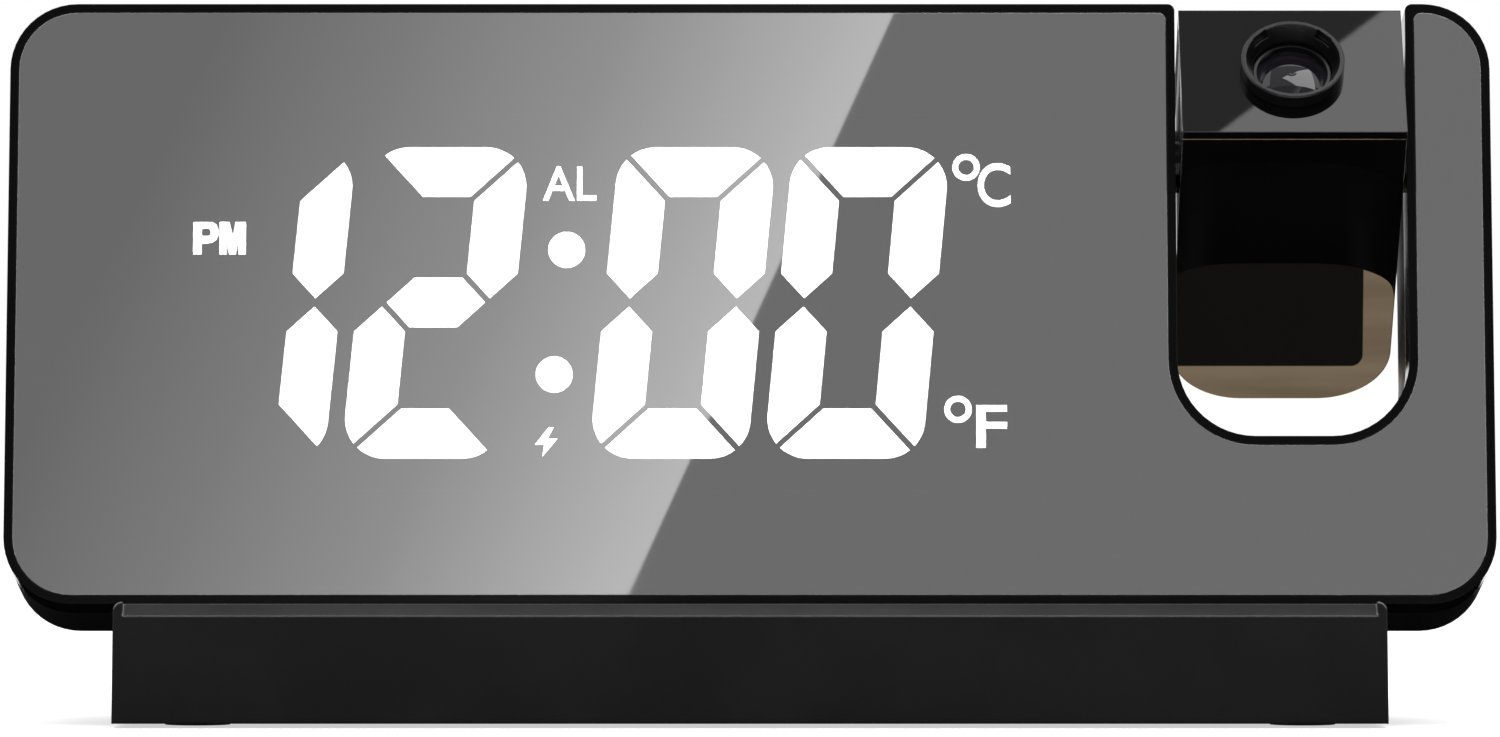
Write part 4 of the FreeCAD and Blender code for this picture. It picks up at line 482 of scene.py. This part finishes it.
# Soft light comes from a white room and from one wide lamp above the front. The room lights the clock at
# about half the level at which it is seen, mirrored or looked at through glass.
ROOM_LIGHT, ROOM_SEEN = 0.55, 1.0
LAMP_PLACE, LAMP_TURN = (0.1, -0.5, 1.3), radians(22)
world = bpy.data.worlds.new("room")
bpy.context.scene.world = world
world.use_nodes = True
room = world.node_tree
room.nodes["Background"].inputs["Color"].default_value = (1, 1, 1, 1)
path = room.nodes.new("ShaderNodeLightPath")
seen = room.nodes.new("ShaderNodeMath")
seen.operation = "MAXIMUM"
also = room.nodes.new("ShaderNodeMath")
also.operation = "MAXIMUM"
level = room.nodes.new("ShaderNodeMapRange")
level.inputs["To Min"].default_value, level.inputs["To Max"].default_value = ROOM_LIGHT, ROOM_SEEN
room.links.new(path.outputs["Is Camera Ray"], seen.inputs[0])
room.links.new(path.outputs["Is Glossy Ray"], seen.inputs[1])
room.links.new(seen.outputs[0], also.inputs[0])
room.links.new(path.outputs["Is Transmission Ray"], also.inputs[1])
room.links.new(also.outputs[0], level.inputs["Value"])
room.links.new(level.outputs["Result"], room.nodes["Background"].inputs["Strength"])

lamp = bpy.data.lights.new("wide_lamp", "AREA")
lamp.shape, lamp.size, lamp.size_y, lamp.energy = "RECTANGLE", 1.6, 1.0, 16
wide = bpy.data.objects.new("wide_lamp", lamp)
wide.matrix_world = Matrix.Translation(LAMP_PLACE) @ Matrix.Rotation(LAMP_TURN, 4, "X")
wide.visible_glossy = False
bpy.context.scene.collection.objects.link(wide)

# The floor is a wide pale table top. It takes the clock's shadow, and is as white as the room where none
# falls.
FLOOR_REACH, SEEN_LIFT, MIRRORED_LIFT = 30, 0.6, 0.3
table = bmesh.new()
bmesh.ops.create_grid(table, x_segments=1, y_segments=1, size=FLOOR_REACH)
floor_data = bpy.data.meshes.new("floor")
table.to_mesh(floor_data)
table.free()
floor = bpy.data.objects.new("floor", floor_data)
bpy.context.scene.collection.objects.link(floor)
pale = Finish("pale_floor", roughness=0.9, specular_ior_level=0.0, emission_color=(1, 1, 1, 1))
pale.set("Base Color", (0.8, 0.8, 0.8, 1))
looked_at = pale.add("LightPath", out="Is Camera Ray")
mirrored = pale.add("LightPath", out="Is Glossy Ray")
pale.set("Emission Strength", looked_at * SEEN_LIFT + mirrored * MIRRORED_LIFT)
floor_data.materials.append(pale.material)


# Studio cards stand about the clock, unseen by the camera. They are glowing sheets that only mirrors and
# gloss show, and they cast no shadow.
def card(name, place, width, height, strength=1.0):
    sheet = bmesh.new()
    bmesh.ops.create_grid(sheet, x_segments=1, y_segments=1, size=0.5)
    bmesh.ops.scale(sheet, vec=(width, height, 1), verts=sheet.verts)
    data = bpy.data.meshes.new(name)
    sheet.to_mesh(data)
    sheet.free()
    hung = bpy.data.objects.new(name, data)
    hung.matrix_world = place
    bpy.context.scene.collection.objects.link(hung)
    hung.visible_camera = hung.visible_diffuse = hung.visible_shadow = False
    hung.visible_transmission = False
    paint = Finish(name, roughness=1.0, specular_ior_level=0.0, emission_strength=strength)
    paint.set("Base Color", (0, 0, 0, 1))
    data.materials.append(paint.material)
    return paint


def split(paint):
    """Across and up on a card, in metres."""
    return [paint.add("SeparateXYZ", {}, {0: paint.at}, axis) for axis in "XY"]


def grey(level):
    """A grey that renders as this level of 255."""
    step = level / 255
    shade = ((step + 0.055) / 1.055) ** 2.4
    return (shade, shade, shade)


# The card ahead of the mirror is two greys that meet in a slanted edge. The left one fades away from that
# edge, and the right one is even.
CARD_GAP, CAMERA_GAP, CAMERA_FOOT = 0.6, 1.1842, -0.1842
CARD_SIDE, MIRROR_GIVES = 1.6, 0.66
EDGE_SOFT, FADE_WIDTH, EVEN_LEVEL = 0.0002, 0.085, 107
FADE_LEVELS = ((0.0, 184), (0.1, 174), (0.25, 159), (0.4, 143), (0.7, 123), (1.0, 104))
growth = (CAMERA_GAP + CARD_GAP) / CAMERA_GAP
across_top, up_top = 0.01824 * growth, 0.0919
across_foot, up_foot = -0.01533 * growth, 0.0168
card_middle = CAMERA_FOOT + growth * (DISPLAY_MIDDLE - CAMERA_FOOT)
ahead_place = case_front @ Matrix.Translation((0, card_middle, CARD_GAP))
ahead = card("card_ahead", ahead_place, CARD_SIDE, CARD_SIDE, 1.0 / MIRROR_GIVES)
across, up = split(ahead)
lean = (across_top - across_foot) / (growth * (up_top - up_foot))
edge_at = across_foot - lean * growth * (up_foot - DISPLAY_MIDDLE)
left_of = (up * lean + edge_at - across) / growth
fading = [(share, grey(level)) for share, level in FADE_LEVELS]
left = ahead.add("ValToRGB", {"stops": fading}, {"Fac": (left_of / FADE_WIDTH).lower(1.0)})
ahead.set("Emission Color", ahead.mix(left_of.spread(-EDGE_SOFT, EDGE_SOFT), grey(EVEN_LEVEL), left))

# The card over the head is dark, with a bright square let in at a slant. The square's upper edge crosses the
# end of the head, and its corner shows in the lens.
OVER_MIDDLE, OVER_SIDE, GLOSS_GIVES = (0.0384, 0.4549, 0.5173), 0.5, 0.048
SLANT, SHEAR, SQUARE_START, SQUARE_DROP = 0.7071, 0.97, 0.155, 0.0019
SQUARE_SOFT, FAR_BELOW, FAR_ALONG = 0.0006, (0.38, 0.39), (0.52, 0.53)
DARK_LEVEL, SQUARE_LEVEL = 36, 104
over_place = head_place @ Matrix.Translation(OVER_MIDDLE)
over = card("card_over", over_place, OVER_SIDE, OVER_SIDE, 1.0 / GLOSS_GIVES)
across, up = split(over)
along = (across + up) * SLANT + SQUARE_START
below = (across * SHEAR - up - SQUARE_DROP) * SLANT
corner = below.spread(-SQUARE_SOFT, SQUARE_SOFT) * along.spread(-SQUARE_SOFT, SQUARE_SOFT)
far = below.spread(*FAR_BELOW, 1.0, 0.0) * along.spread(*FAR_ALONG, 1.0, 0.0)
over.set("Emission Color", over.mix(corner * far, grey(DARK_LEVEL), grey(SQUARE_LEVEL)))

# The front of the head shows oak, warm and grained, and in it the dark outline of the base with its rounded
# corner. A small level card at the back of the base gives it both.
DESK_MIDDLE, DESK_WIDTH, DESK_LENGTH, DESK_STRENGTH = (0.0695, 0.024, 0.0165), 0.0375, 0.055, 3.1
desk = card("card_desk", Matrix.Translation(DESK_MIDDLE), DESK_WIDTH, DESK_LENGTH, DESK_STRENGTH)
board = desk.add("Mapping", {}, {"Vector": desk.at, "Scale": (0.3, 3.0, 1.0)})
grain = desk.add("TexNoise", {}, {"Vector": board, "Scale": 60, "Detail": 5, "Distortion": 0.6}, "Fac")
oak = desk.mix(grain.spread(0.35, 0.7), (1.0, 0.76, 0.5), (0.74, 0.54, 0.34))
across, along = split(desk)
BLOCK_SIDE, BLOCK_BACK, BLOCK_ROUND = 0.0117, -0.0083, 0.0016
past_side = (across - (BLOCK_SIDE - BLOCK_ROUND)).higher(0.0)
past_back = (along - (BLOCK_BACK - BLOCK_ROUND)).higher(0.0)
round_square = BLOCK_ROUND**2
outside = (past_side * past_side + past_back * past_back).spread(round_square * 0.9, round_square * 1.1)
desk.set("Emission Color", desk.mix(outside, (0.03, 0.028, 0.025), oak))

# A black cloth lies under the clock and behind it. It keeps the pale floor from showing in the gloss of the
# clock's underside.
CLOTH_MIDDLE, CLOTH_WIDTH, CLOTH_LENGTH = (0, 0.08, 0.0002), 0.5, 0.3
cloth = card("card_cloth", Matrix.Translation(CLOTH_MIDDLE), CLOTH_WIDTH, CLOTH_LENGTH)
cloth.set("Emission Color", (0.002, 0.002, 0.002, 1))

bpy.context.scene.view_settings.view_transform = "Standard"
